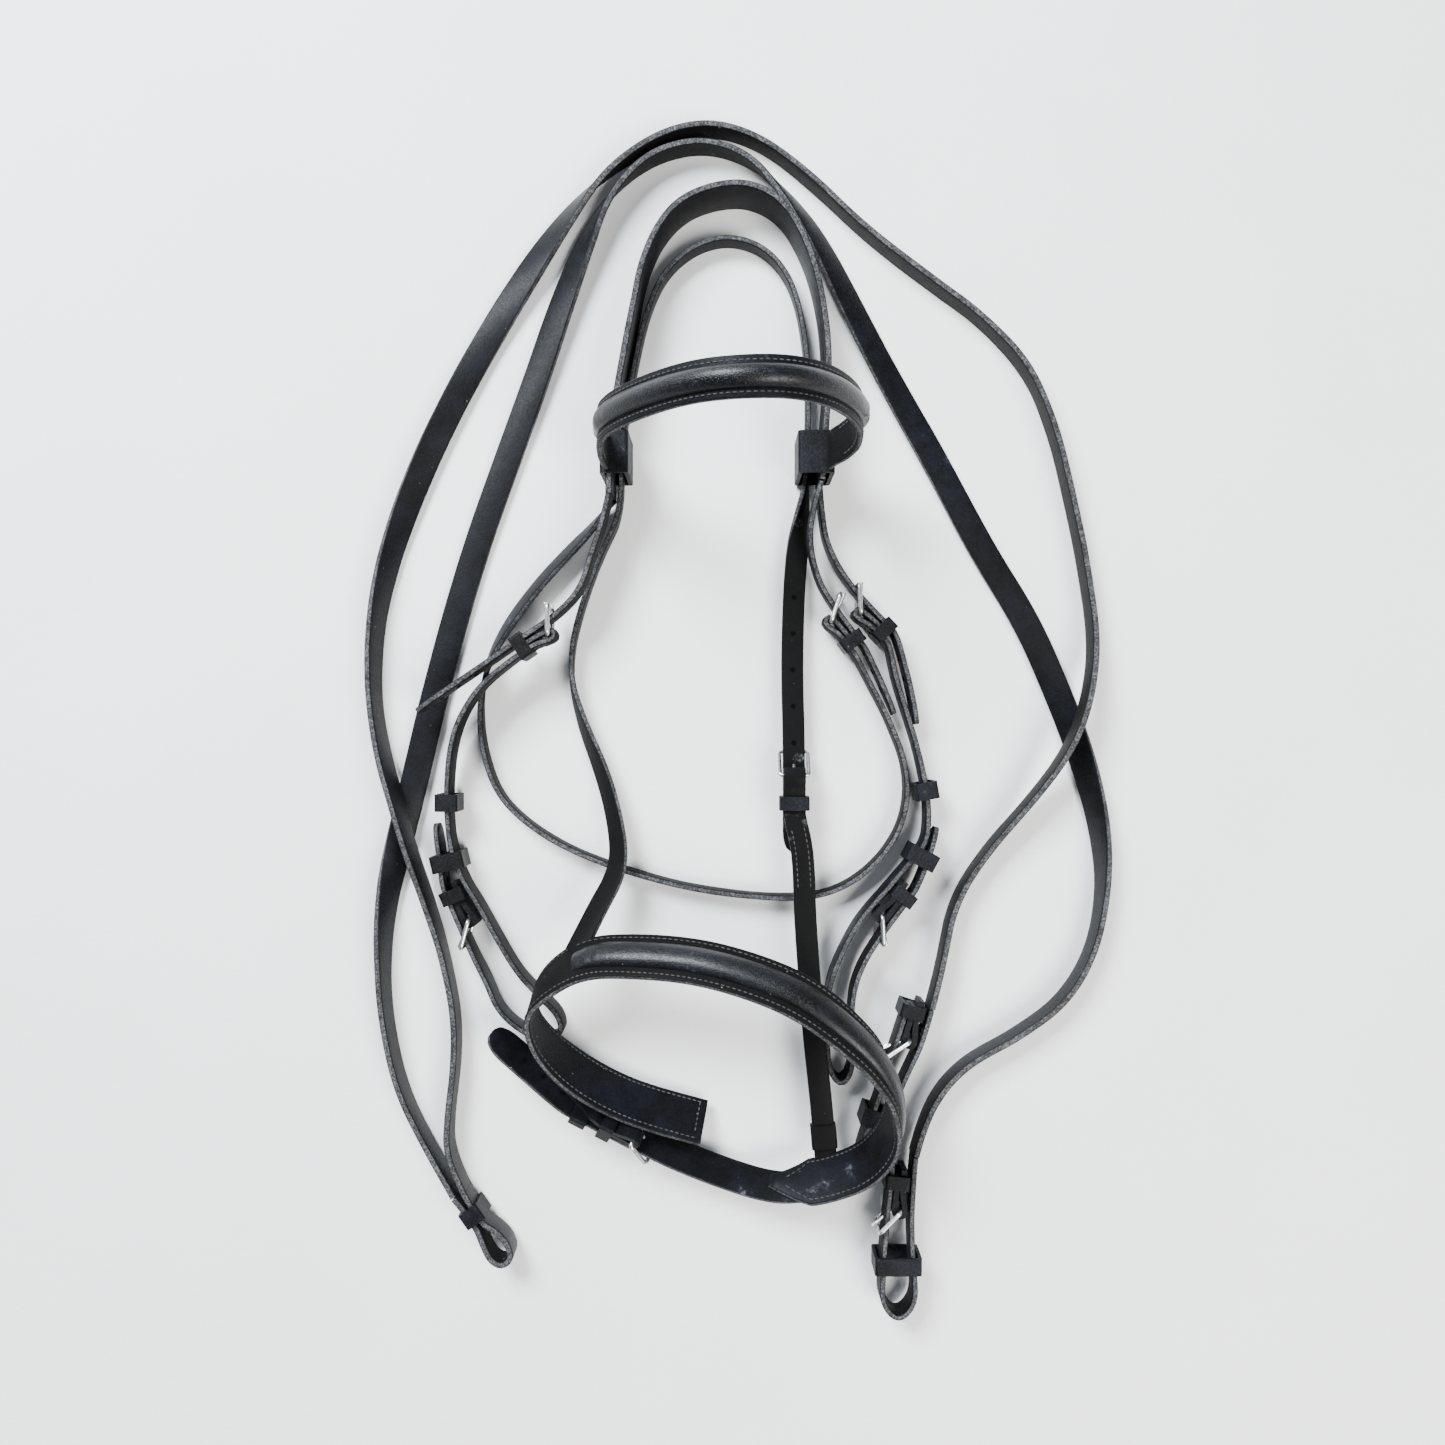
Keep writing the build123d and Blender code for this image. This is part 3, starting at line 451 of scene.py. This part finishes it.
def leather(name, highlight_upward_faces, wear=1.0, gloss=0.0):
    """Dyed leather: grain with patches of painted sheen, cut edges grey from wear and a painted
    highlight, a rough flesh side and scraped places.

    The second argument paints a highlight on what faces up, for a piece with no rim and flesh attributes.
    wear is how much is scraped, and gloss turns a matt strap into a polished roll."""
    look = bpy.context.scene.bridle_leather
    shader = Shader(name)
    grain = shader.node("TexVoronoi", {"feature": "F1"}, {
        "Vector": shader.coordinates(), "Scale": 1 / look.grain_size, "Randomness": 1.0})
    fine = shader.noise(2600, 4)
    speck = shader.noise(900, 3, 0.7)
    broad = shader.noise(22, 4, 0.6)
    blotch = shader.noise(95, 5, 0.65)
    flesh = None
    if highlight_upward_faces:
        # painted highlight: the surfaces that face up take a little of the light edge colour
        normal = shader.node("NewGeometry", output="Normal")
        up = shader.node("SeparateXYZ", inputs={"Vector": normal}, output="Z")
        rim = up.between(0.75, 0.95) * 0.08
    else:
        rim = shader.attribute("rim").between(0.72, 1.0)
        flesh = shader.attribute("flesh").between(0.2, 0.8)
    # patches of rubbed grain that take the painted sheen colour in place of the plain grain colour
    worn_and_sheen = (broad * 0.45 + blotch * 0.3 + speck * 0.25).between(0.43, 0.62)
    face = shader.mix(worn_and_sheen, tuple(look.face), tuple(look.sheen))
    if flesh:
        fibre = shader.mix(fine.between(0.3, 0.7), tuple(look.flesh), tuple(c * 1.9 for c in look.flesh))
        face = shader.mix(flesh, face, fibre)
    # the cut edges turn grey: partly real wear, partly a painted highlight that makes a light line along
    # each edge
    rubbed_and_highlit = rim * (0.55 + 0.45 * blotch.between(0.36, 0.6))
    edge = shader.mix(speck.between(0.42, 0.66), tuple(c * 0.22 for c in look.edge), tuple(look.edge))
    colour = shader.mix(rubbed_and_highlit, face, edge)
    scrape = broad.between(0.60, 0.70) * blotch.between(0.55, 0.66) * fine.between(0.42, 0.6) * wear
    flecks = shader.noise(420, 2).between(0.74, 0.8) * wear
    colour = shader.mix(scrape * 0.75 + flecks * 0.5, colour, tuple(look.scuff))
    shader.surface_input("Base Color", colour)
    rough = 0.40 - 0.16 * gloss + 0.20 * blotch + 0.22 * rubbed_and_highlit + 0.2 * scrape
    shader.surface_input("Roughness", rough + flesh * 0.25 if flesh else rough)
    shader.surface_input("Specular IOR Level", 0.08 + 0.12 * gloss)
    shader.surface_input("Coat Weight", 0.02 + 0.12 * gloss)
    shader.surface_input("Coat Roughness", 0.28)
    shader.surface_input("Sheen Weight", 0.01)
    shader.surface_input("Sheen Roughness", 0.5)
    height = grain.between(0.0, 0.6) * 0.6 + fine * 0.3 + speck * 0.5 + blotch * 0.6
    shader.relief(height, LEATHER_RELIEF)
    return shader.material


def steel():
    """Polished stainless wire with fine scratches."""
    look = bpy.context.scene.bridle_steel
    shader = Shader("polished_steel")
    scratches = shader.noise(1800, 2, vector=shader.node("Mapping", {}, {
        "Vector": shader.coordinates(), "Scale": (1.0, 0.12, 1.0)}))
    smears = shader.noise(130, 3)
    dull = tuple(c * 0.72 for c in look.colour)
    shader.surface_input("Base Color", shader.mix(smears.between(0.4, 0.7), tuple(look.colour), dull))
    shader.surface_input("Metallic", 1.0)
    shader.surface_input("Roughness", look.roughness + 0.16 * scratches + 0.1 * smears.between(0.45, 0.7))
    shader.relief(scratches, SCRATCH_RELIEF)
    return shader.material


def thread():
    """Waxed thread with a twist."""
    look = bpy.context.scene.bridle_leather
    shader = Shader("waxed_thread")
    twist = shader.node("TexWave", {"wave_type": "BANDS", "bands_direction": "DIAGONAL"}, {
        "Vector": shader.coordinates(), "Scale": 900.0, "Distortion": 1.0})
    dirt = shader.noise(160, 3)
    dark = tuple(c * 0.45 for c in look.thread)
    shader.surface_input("Base Color", shader.mix(dirt.between(0.35, 0.65), dark, tuple(look.thread)))
    shader.surface_input("Roughness", 0.62 + 0.2 * dirt)
    shader.relief(twist, THREAD_RELIEF)
    return shader.material


def punched():
    """The dark inside of a punched hole: the bore's dark fibre, with painted shade on a plug where one
    would see through.
    """
    shader = Shader("hole_painted_shade")
    fibre = shader.noise(2400, 3)
    # painted shade: near black over most of the plug, with the bore's brown fibre in places
    black, brown = (0.0006, 0.0006, 0.0006), (0.002, 0.0018, 0.0016)
    shader.surface_input("Base Color", shader.mix(fibre.between(0.4, 0.7), black, brown))
    shader.surface_input("Roughness", 0.85 + 0.1 * fibre)
    shader.surface_input("Specular IOR Level", 0.05)
    shader.relief(fibre, FIBRE_RELIEF)
    return shader.material


def painted_floor():
    """A plain pale floor with a faint unevenness."""
    look = bpy.context.scene.bridle_stage
    shader = Shader("pale_floor")
    cloud = shader.noise(7, 4)
    low = tuple(c * 0.965 for c in look.floor)
    shader.surface_input("Base Color", shader.mix(cloud.between(0.3, 0.7), low, tuple(look.floor)))
    shader.surface_input("Roughness", 0.7 + 0.1 * cloud)
    shader.relief(shader.noise(300, 3), FLOOR_RELIEF)
    return shader.material


MATERIALS = {}


def finish(name):
    """A material by its name, made the first time that it is asked for."""
    makers = {
        "strap": lambda: leather("strap_leather", False),
        "rein": lambda: leather("rein_leather", False, 0.8, 0.22),
        "lining": lambda: leather("lining_leather", False, 1.5),
        "padding": lambda: leather("padding_leather", False, 1.2, 1.0),
        # the keepers' leather has a painted highlight on what faces up
        "keeper": lambda: leather("keeper_leather", True, 0.8),
        "steel": steel,
        "thread": thread,
        "hole": punched,
        "floor": painted_floor,
    }
    if name not in MATERIALS:
        MATERIALS[name] = makers[name]()
    return MATERIALS[name]


# ---- a strap: modelled straight, then laid along its route ----

RAIL_STEPS = 12          # points between two control points of a rail
RAIL_ARM = 0.01          # from a strap's middle to the rail that carries its width
STRAP_STEP = 0.002       # between sections of a modelled strap
PAD_CUTS = 11            # cuts across a padded roll
PAD_TAPER = 0.03         # stretch over which a roll is drawn in at its ends
PAD_CREASE = 0.7         # depth of the creases there
STRAP_WAVE = 0.00022     # unevenness of a strap
WRAP_WAVE = 0.0005       # ... and of a wrap
HOLE_RADIUS = 0.0016
HOLE_PROUD = 0.0005      # a hole's dark bore past both faces together
STITCH_PROUD = 0.0001    # a stitch's middle over the face
SEAM_GAP = 0.0045        # a crosswise seam from the end of its tab
BILLET_TIP = 0.012       # stretch over which a billet narrows
THROAT_TIP = 0.011
BACK_TIP = 0.014
NOSE_TIP = 0.024
BILLET_PITCH = 0.012     # between a billet's punched holes
BOTH_FACES = (1, -1)


class Ribbon:
    """The smooth line of a route, with the direction of the width all along it."""

    def __init__(self, route):
        route = [(at - MIDDLE, across) for at, across in route]
        middle = self.rail([at for at, across in route])
        beside = self.rail([at + across * RAIL_ARM for at, across in route])
        self.places, self.acrosses, self.lengths = [], [], []
        total = 0.0
        for at, edge in zip(middle, beside):
            if self.places:
                step = (at - self.places[-1]).length
                if step < 1e-7:
                    continue
                total += step
            self.places.append(at)
            self.acrosses.append((edge - at).normalized())
            self.lengths.append(total)
        self.length = total

    def rail(self, points):
        """The points of a smooth curve with these control points."""
        curve = bpy.data.curves.new("rail", "CURVE")
        curve.dimensions = "3D"
        curve.resolution_u = RAIL_STEPS
        spline = curve.splines.new("NURBS")
        spline.points.add(len(points) - 1)
        for control, point in zip(spline.points, points):
            control.co = (*point, 1)
        spline.order_u = 3
        spline.use_endpoint_u = True
        holder = bpy.data.objects.new("rail", curve)
        bpy.context.scene.collection.objects.link(holder)
        mesh = bpy.data.meshes.new_from_object(holder)
        places = [vertex.co.copy() for vertex in mesh.vertices]
        bpy.data.objects.remove(holder)
        bpy.data.meshes.remove(mesh)
        return places

    def at(self, s):
        """Place, travel, width direction and face direction at a distance along the line."""
        s = min(max(s, 0.0), self.length)
        i = min(max(bisect_right(self.lengths, s) - 1, 0), len(self.places) - 2)
        span = self.lengths[i + 1] - self.lengths[i]
        t = (s - self.lengths[i]) / span
        spot = self.places[i].lerp(self.places[i + 1], t)
        across = self.acrosses[i].lerp(self.acrosses[i + 1], t)
        before = self.places[max(i - 1, 0)].lerp(self.places[i], t)
        after = self.places[i + 1].lerp(self.places[min(i + 2, len(self.places) - 1)], t)
        travel = (after - before).normalized()
        side = (across - travel * across.dot(travel)).normalized()
        return spot, travel, side, travel.cross(side)

    def lay(self, piece, offset=0.0, start=0.0):
        """Carry a straight piece, modelled along X, onto the line."""
        for vertex in piece.data.vertices:
            x, y, z = vertex.co
            spot, travel, side, face = self.at(start + x)
            over = start + x - min(max(start + x, 0.0), self.length)
            vertex.co = spot + travel * over + side * y + face * (z + offset)
        piece.data.update()


def deselect():
    """Leave nothing selected."""
    bpy.ops.object.select_all(action="DESELECT")


def pick_edges(piece, wanted):
    """Enter edit mode with only the wanted edges selected."""
    bpy.context.tool_settings.mesh_select_mode = (False, True, False)
    mesh = piece.data
    for group in (mesh.vertices, mesh.edges, mesh.polygons):
        group.foreach_set("select", [False] * len(group))
    for edge in mesh.edges:
        ends = [mesh.vertices[i].co for i in edge.vertices]
        if wanted(*ends):
            edge.select = True
            for i in edge.vertices:
                mesh.vertices[i].select = True
    bpy.ops.object.mode_set(mode="EDIT")
    bpy.ops.mesh.select_mode(type="EDGE")


def runs_along(a, b):
    """Whether an edge runs along a straight strap."""
    return abs(a.y - b.y) < 1e-6 and abs(a.z - b.z) < 1e-6 and abs(a.x - b.x) > 1e-4


def turned(route):
    """The same route travelled the other way, so that its face looks the other way."""
    return route[::-1]


def straight_bar(name, length, width, thick, rounding, segments=3):
    """A straight bar from 0 to length along X, with rounded long edges, cut into sections."""
    deselect()
    bpy.ops.mesh.primitive_cube_add(size=1, location=(length / 2, 0, 0))
    piece = bpy.context.object
    piece.name = piece.data.name = name
    piece.scale = (length, width, thick)
    bpy.ops.object.transform_apply(location=True, rotation=True, scale=True)
    pick_edges(piece, runs_along)
    bpy.ops.mesh.bevel(offset=rounding, segments=segments, affect="EDGES")
    bpy.ops.object.mode_set(mode="OBJECT")
    cuts = max(1, ceil(sqrt(length / STRAP_STEP)) - 1)
    for _ in range(2):
        pick_edges(piece, runs_along)
        bpy.ops.mesh.subdivide(number_cuts=cuts)
        bpy.ops.object.mode_set(mode="OBJECT")
    return piece


def strap_marks(piece, width, rounding):
    """Store on the points where the cut edges and the flesh side are."""
    rim = piece.data.attributes.new("rim", "FLOAT", "POINT")
    flesh = piece.data.attributes.new("flesh", "FLOAT", "POINT")
    for i, vertex in enumerate(piece.data.vertices):
        out = (abs(vertex.co.y) - (width / 2 - rounding)) / rounding
        rim.data[i].value = min(max(out, 0.0), 1.0)
        flesh.data[i].value = 1.0 if vertex.co.z < 0 else 0.0


def point_tip(piece, length, tip, sharp=False):
    """Narrow the end of a billet to a rounded point, or to a sharp one with straight sides."""
    for vertex in piece.data.vertices:
        into = (vertex.co.x - (length - tip)) / tip
        if into > 0:
            rounded = 0.30 + 0.70 * sqrt(max(0.0, 1 - into * into))
            vertex.co.y *= 1 - 0.80 * into if sharp else rounded


def wave_faces(piece, rise):
    """Add the slight unevenness of used leather."""
    for vertex in piece.data.vertices:
        x, y, z = vertex.co
        vertex.co.z = z + rise * noise.noise(Vector((x * 38, y * 60, 3.1)))
        vertex.co.y = y + rise * 0.6 * noise.noise(Vector((x * 24, 7.7, z * 100)))


def strap(name, route, width, thick, node, material="strap", slot="leather", tip=0.0, rounding=None,
          sharp=False):
    """One strap on its route."""
    rounding = rounding or bpy.context.scene.bridle_leather.edge_round
    ribbon = Ribbon(route)
    piece = straight_bar(name, ribbon.length, width, thick, rounding)
    strap_marks(piece, width, rounding)
    if tip:
        point_tip(piece, ribbon.length, tip, sharp)
    wave_faces(piece, STRAP_WAVE)
    ribbon.lay(piece)
    settle(piece, material)
    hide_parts(node)
    return piece, ribbon


def padding(name, route, width, thick, node, offset, span):
    """A stuffed roll: a bar whose upper face is domed, drawn in towards both ends, laid on its strap."""
    ribbon = Ribbon(route)
    start, end = (share * ribbon.length for share in span)
    length = end - start
    piece = straight_bar(name, length, width, thick, thick * 0.12, segments=2)
    pick_edges(piece, lambda a, b: abs(a.x - b.x) < 1e-6 and abs(a.z - b.z) < 1e-6
               and abs(a.y - b.y) > width / 2)
    bpy.ops.mesh.subdivide(number_cuts=PAD_CUTS)
    bpy.ops.object.mode_set(mode="OBJECT")
    strap_marks(piece, width * 2, thick)
    for vertex in piece.data.vertices:
        x, y, z = vertex.co
        inward = min(1.0, min(x, length - x) / PAD_TAPER)
        fullness = sqrt(max(0.0, inward * (2 - inward)))
        if z > 0:
            dome = sqrt(max(0.0, 1 - (2 * y / width) ** 2))
            crease = 1 - PAD_CREASE * noise.noise(Vector((x * 240, 0.4, 2.2))) * (1 - inward)
            z = -thick / 2 + thick * (0.06 + 0.94 * dome * crease) * (0.12 + 0.88 * fullness)
        vertex.co = (x, y * (0.62 + 0.38 * fullness), z)
    ribbon.lay(piece, offset, start)
    settle(piece, "padding")
    bpy.ops.object.shade_smooth_by_angle(angle=radians(60))
    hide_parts(node)


def settle(piece, material):
    """Finish a piece: smooth shading, its material and the body that it rides on."""
    deselect()
    piece.select_set(True)
    bpy.context.view_layer.objects.active = piece
    bpy.ops.object.shade_smooth_by_angle(angle=radians(40))
    piece.data.materials.clear()
    piece.data.materials.append(finish(material))
    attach(piece, "bridle")


def stitch_row(name, ribbon, start, end, across, height, point=0.0, crosswise=False):
    """A row of stitches: one stitch is modelled, then repeated and laid.

    point is the length over which the row runs in to the middle of a pointed end.  A crosswise row
    runs over the strap from -across to across, at start."""
    sewing = bpy.context.scene.bridle_stitching
    deselect()
    bpy.ops.mesh.primitive_uv_sphere_add(segments=8, ring_count=6, radius=0.5, location=(0, 0, 0))
    piece = bpy.context.object
    piece.name = piece.data.name = name
    piece.scale = (sewing.length, sewing.width, sewing.width * 0.8)
    bpy.ops.object.transform_apply(location=True, rotation=True, scale=True)
    array = piece.modifiers.new("row", "ARRAY")
    array.use_relative_offset = False
    array.use_constant_offset = True
    array.constant_offset_displace = (sewing.pitch, 0, 0)
    run = 2 * across if crosswise else end - start
    array.count = max(2, int(run / sewing.pitch))
    bpy.ops.object.modifier_apply(modifier="row")
    for vertex in piece.data.vertices:
        x, y, z = vertex.co
        into = max(0.0, (x - (run - point)) / point) if point else 0.0
        vertex.co = (y, x - across, z + height) if crosswise else (x, y + across * (1 - into), z + height)
    ribbon.lay(piece, 0.0, start)
    settle(piece, "thread")


def punch_row(name, ribbon, first, pitch, count, thick, radius=HOLE_RADIUS):
    """Punched holes along a billet, each a dark plug of fibre colour and painted shade that shows on both
    faces.
    """
    deselect()
    bpy.ops.mesh.primitive_cylinder_add(
        vertices=20, radius=radius, depth=thick + HOLE_PROUD, location=(0, 0, 0))
    piece = bpy.context.object
    piece.name = piece.data.name = name
    array = piece.modifiers.new("row", "ARRAY")
    array.use_relative_offset = False
    array.use_constant_offset = True
    array.constant_offset_displace = (pitch, 0, 0)
    array.count = count
    bpy.ops.object.modifier_apply(modifier="row")
    ribbon.lay(piece, 0.0, first)
    settle(piece, "hole")


def rows(name, ribbon, start, end, width, thick, faces=(1,), point=0.0):
    """Rows of stitches along both edges of a strap, on the chosen faces."""
    inset = bpy.context.scene.bridle_stitching.inset
    for face in faces:
        for side in (-1, 1):
            label = f"{name}_{'grain' if face > 0 else 'flesh'}_{'low' if side < 0 else 'high'}"
            stitch_row(label, ribbon, start, end, side * (width / 2 - inset),
                       face * (thick / 2 + STITCH_PROUD), point)


# ---- operators, one for each group of pieces ----

class BRIDLE_OT_headpiece(bpy.types.Operator):
    """Crown, cheek billets, throat billet and throatlash"""
    bl_idname = "bridle.headpiece"
    bl_label = "Headpiece"

    def execute(self, context):
        node = "headpiece"
        strap("crown", CROWN, CROWN_WIDTH, CROWN_THICK, node)
        _, left = strap(
            "cheek_billet_left", CHEEK_BILLET_LEFT, CHEEK_WIDTH, STRAP_THICK, node, tip=BILLET_TIP)
        strap("throatlash", THROATLASH, THROAT_WIDTH, STRAP_THICK, node)
        _, throat = strap(
            "throat_billet", THROAT_BILLET, THROAT_WIDTH, STRAP_THICK, node, tip=THROAT_TIP)
        _, right = strap(
            "cheek_billet_right", CHEEK_BILLET_RIGHT, CHEEK_WIDTH, STRAP_THICK, node, tip=BILLET_TIP)
        for name, ribbon in (("left", left), ("right", right), ("throat", throat)):
            first = ribbon.length - 0.040
            punch_row(f"billet_holes_{name}", ribbon, first, BILLET_PITCH, 3, STRAP_THICK)
        return {"FINISHED"}


class BRIDLE_OT_browband(bpy.types.Operator):
    """Browband with its padded roll and its stitched flanges"""
    bl_idname = "bridle.browband"
    bl_label = "Browband"

    def execute(self, context):
        _, ribbon = strap("browband_strap", BAND, BROW_WIDTH, BROW_THICK, "browband_band")
        padding("browband_padding", BAND, BROW_ROLL_WIDTH + 0.001, BROW_ROLL_THICK + 0.0004,
                "browband_roll", (BROW_THICK + BROW_ROLL_THICK) / 2 - 0.0002, (0.10, 0.87))
        rows("browband_stitches", ribbon, 0.012, ribbon.length - 0.012, BROW_WIDTH, BROW_THICK,
             BOTH_FACES)
        return {"FINISHED"}


class BRIDLE_OT_noseband(bpy.types.Operator):
    """Headstrap, cheek strap, padded noseband, its billet and its chape"""
    bl_idname = "bridle.noseband"
    bl_label = "Noseband"

    def execute(self, context):
        _, head = strap("noseband_long_strap", HEADSTRAP, THROAT_WIDTH, STRAP_THICK,
                        "noseband_headstrap", tip=BILLET_TIP)
        punch_row("headstrap_holes", head, head.length - 0.150, 0.0215, 6, STRAP_THICK, 0.0014)
        _, cheek = strap("noseband_side_strap", NOSE_CHEEK, THROAT_WIDTH, STRAP_THICK,
                         "noseband_cheek_strap")
        wrap_width, rounding = THROAT_WIDTH + 0.002, 0.0012
        wrap = straight_bar("side_strap_wrap", 0.014, wrap_width, STRAP_THICK + 0.003, rounding)
        strap_marks(wrap, wrap_width, rounding)
        wave_faces(wrap, WRAP_WAVE)
        cheek.lay(wrap, start=cheek.length - 0.021)
        settle(wrap, "strap")
        rows("side_strap_stitches", cheek, 0.062, 0.098, THROAT_WIDTH, STRAP_THICK, BOTH_FACES)
        _, nose = strap("noseband_band", NOSEBAND, NOSE_WIDTH, NOSE_THICK, "noseband_lining", "lining",
                        "flesh_leather", tip=NOSE_TIP, rounding=0.0011, sharp=True)
        rows("noseband_stitches", nose, 0.005, nose.length - 0.006, NOSE_WIDTH, NOSE_THICK,
             BOTH_FACES, 0.018)
        for face, label in ((1, "grain"), (-1, "flesh")):
            stitch_row(f"tab_stitches_{label}", nose, SEAM_GAP, 0.0, NOSE_WIDTH / 2 - 0.004,
                       face * (NOSE_THICK / 2 + STITCH_PROUD), crosswise=True)
        padding("noseband_padding", turned(NOSEBAND), NOSE_ROLL_WIDTH + 0.002,
                NOSE_ROLL_THICK + 0.0006, "noseband_roll",
                (NOSE_THICK + NOSE_ROLL_THICK) / 2 - 0.0001, (0.12, 0.66))
        _, back = strap("noseband_back_billet", NOSE_BILLET, BACK_WIDTH, STRAP_THICK,
                        "noseband_billet", tip=BACK_TIP)
        punch_row("noseband_holes", back, back.length - 0.055, 0.015, 3, STRAP_THICK)
        return {"FINISHED"}


class BRIDLE_OT_cheekpieces(bpy.types.Operator):
    """Cheekpieces with their bit loops and billets"""
    bl_idname = "bridle.cheekpieces"
    bl_label = "Cheekpieces"

    def execute(self, context):
        for side, route in (("left", CHEEK_LEFT), ("right", CHEEK_RIGHT)):
            _, ribbon = strap(f"cheek_strap_{side}", route, CHEEK_WIDTH, STRAP_THICK,
                              f"cheekpiece_{side}", tip=BILLET_TIP)
            rows(f"cheek_stitches_{side}", ribbon, 0.034, 0.050, CHEEK_WIDTH, STRAP_THICK, BOTH_FACES)
            first = ribbon.length - 0.034
            punch_row(f"cheek_holes_{side}", ribbon, first, BILLET_PITCH, 2, STRAP_THICK)
        return {"FINISHED"}


class BRIDLE_OT_reins(bpy.types.Operator):
    """Long reins, their folded hand end and their billets"""
    bl_idname = "bridle.reins"
    bl_label = "Reins"

    def execute(self, context):
        look = ("rein", "rein_leather")
        strap("hand_fold", HAND_LOOP, REIN_WIDTH, REIN_THICK, "rein_hand_loop", *look)
        for side, route in (("outer", REIN_OUTER), ("inner", REIN_INNER)):
            piece, ribbon = strap(
                f"rein_strap_{side}", route, REIN_WIDTH, REIN_THICK, f"rein_{side}", *look)
        for side, route in (("outer", REIN_BILLET_OUTER), ("inner", REIN_BILLET_INNER)):
            _, ribbon = strap(f"rein_end_{side}", route, CHEEK_WIDTH, STRAP_THICK,
                              f"rein_billet_{side}", *look, tip=BILLET_TIP)
            rows(f"rein_stitches_{side}", ribbon, 0.003, 0.024, CHEEK_WIDTH, STRAP_THICK, BOTH_FACES)
        return {"FINISHED"}


class BRIDLE_OT_fittings(bpy.types.Operator):
    """Finishes of the buckles, keepers and chapes that the frame holds"""
    bl_idname = "bridle.fittings"
    bl_label = "Fittings"

    def execute(self, context):
        for name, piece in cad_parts.items():
            kind = "steel" if name.startswith(("buckle_", "tongue_")) else "keeper"
            piece.data.materials.clear()
            piece.data.materials.append(finish(kind))
        return {"FINISHED"}


class BRIDLE_OT_stage(bpy.types.Operator):
    """Floor, soft light and camera"""
    bl_idname = "bridle.stage"
    bl_label = "Stage"

    def execute(self, context):
        stage = context.scene.bridle_stage
        deselect()
        bpy.ops.mesh.primitive_plane_add(size=6, location=(0, 0, 0))
        floor = context.object
        floor.name = "floor"
        floor.data.materials.append(finish("floor"))
        for name, place_at, size, energy, colour in (
                ("window_light", (-0.9, 1.3, 1.5), 0.9, 160, (0.90, 0.95, 1.0)),
                ("fill_light", (1.1, -0.9, 1.7), 1.2, 85, (1.0, 0.98, 0.95))):
            lamp = bpy.data.lights.new(name, "AREA")
            lamp.size, lamp.energy, lamp.color = size, energy, colour
            holder = bpy.data.objects.new(name, lamp)
            holder.location = place_at
            holder.rotation_euler = (-Vector(place_at)).to_track_quat("-Z", "Y").to_euler()
            context.scene.collection.objects.link(holder)
        world = context.scene.world or bpy.data.worlds.new("soft_sky")
        context.scene.world = world
        world.use_nodes = True
        sky = world.node_tree.nodes["Background"]
        sky.inputs["Color"].default_value = (0.86, 0.92, 1.0, 1)
        sky.inputs["Strength"].default_value = 0.36
        camera = bpy.data.cameras.new("camera")
        camera.lens, camera.sensor_width = stage.lens, 36
        camera.clip_start = 0.01
        holder = bpy.data.objects.new("camera", camera)
        holder.location = (stage.view[0] - MIDDLE.x, stage.view[1] - MIDDLE.y, stage.height)
        context.scene.collection.objects.link(holder)
        context.scene.camera = holder
        return {"FINISHED"}


class BRIDLE_PT_panel(bpy.types.Panel):
    """The bridle's operators and settings"""
    bl_idname = "BRIDLE_PT_panel"
    bl_label = "Bridle"
    bl_space_type = "VIEW_3D"
    bl_region_type = "UI"
    bl_category = "Bridle"

    def draw(self, context):
        for operator in OPERATORS:
            self.layout.operator(operator.bl_idname)
        for name in SETTINGS:
            group = getattr(context.scene, name)
            for key in group.__annotations__:
                self.layout.prop(group, key)


OPERATORS = (BRIDLE_OT_headpiece, BRIDLE_OT_browband, BRIDLE_OT_noseband, BRIDLE_OT_cheekpieces,
             BRIDLE_OT_reins, BRIDLE_OT_fittings, BRIDLE_OT_stage)
SETTINGS = {
    "bridle_leather": BridleLeather,
    "bridle_steel": BridleSteel,
    "bridle_stitching": BridleStitching,
    "bridle_stage": BridleStage,
}


def register():
    """Register the settings, the operators and the panel."""
    for group in SETTINGS.values():
        bpy.utils.register_class(group)
    for kind in (*OPERATORS, BRIDLE_PT_panel):
        bpy.utils.register_class(kind)
    for name, group in SETTINGS.items():
        setattr(bpy.types.Scene, name, bpy.props.PointerProperty(type=group))


def unregister():
    """Take everything out again."""
    for name in SETTINGS:
        delattr(bpy.types.Scene, name)
    for kind in (*reversed(OPERATORS), BRIDLE_PT_panel, *SETTINGS.values()):
        bpy.utils.unregister_class(kind)


def main():
    """Register the settings, operators and panel, then build every piece."""
    register()
    for operator in OPERATORS:
        group, name = operator.bl_idname.split(".")
        getattr(getattr(bpy.ops, group), name)()


if __name__ == "__main__":
    main()
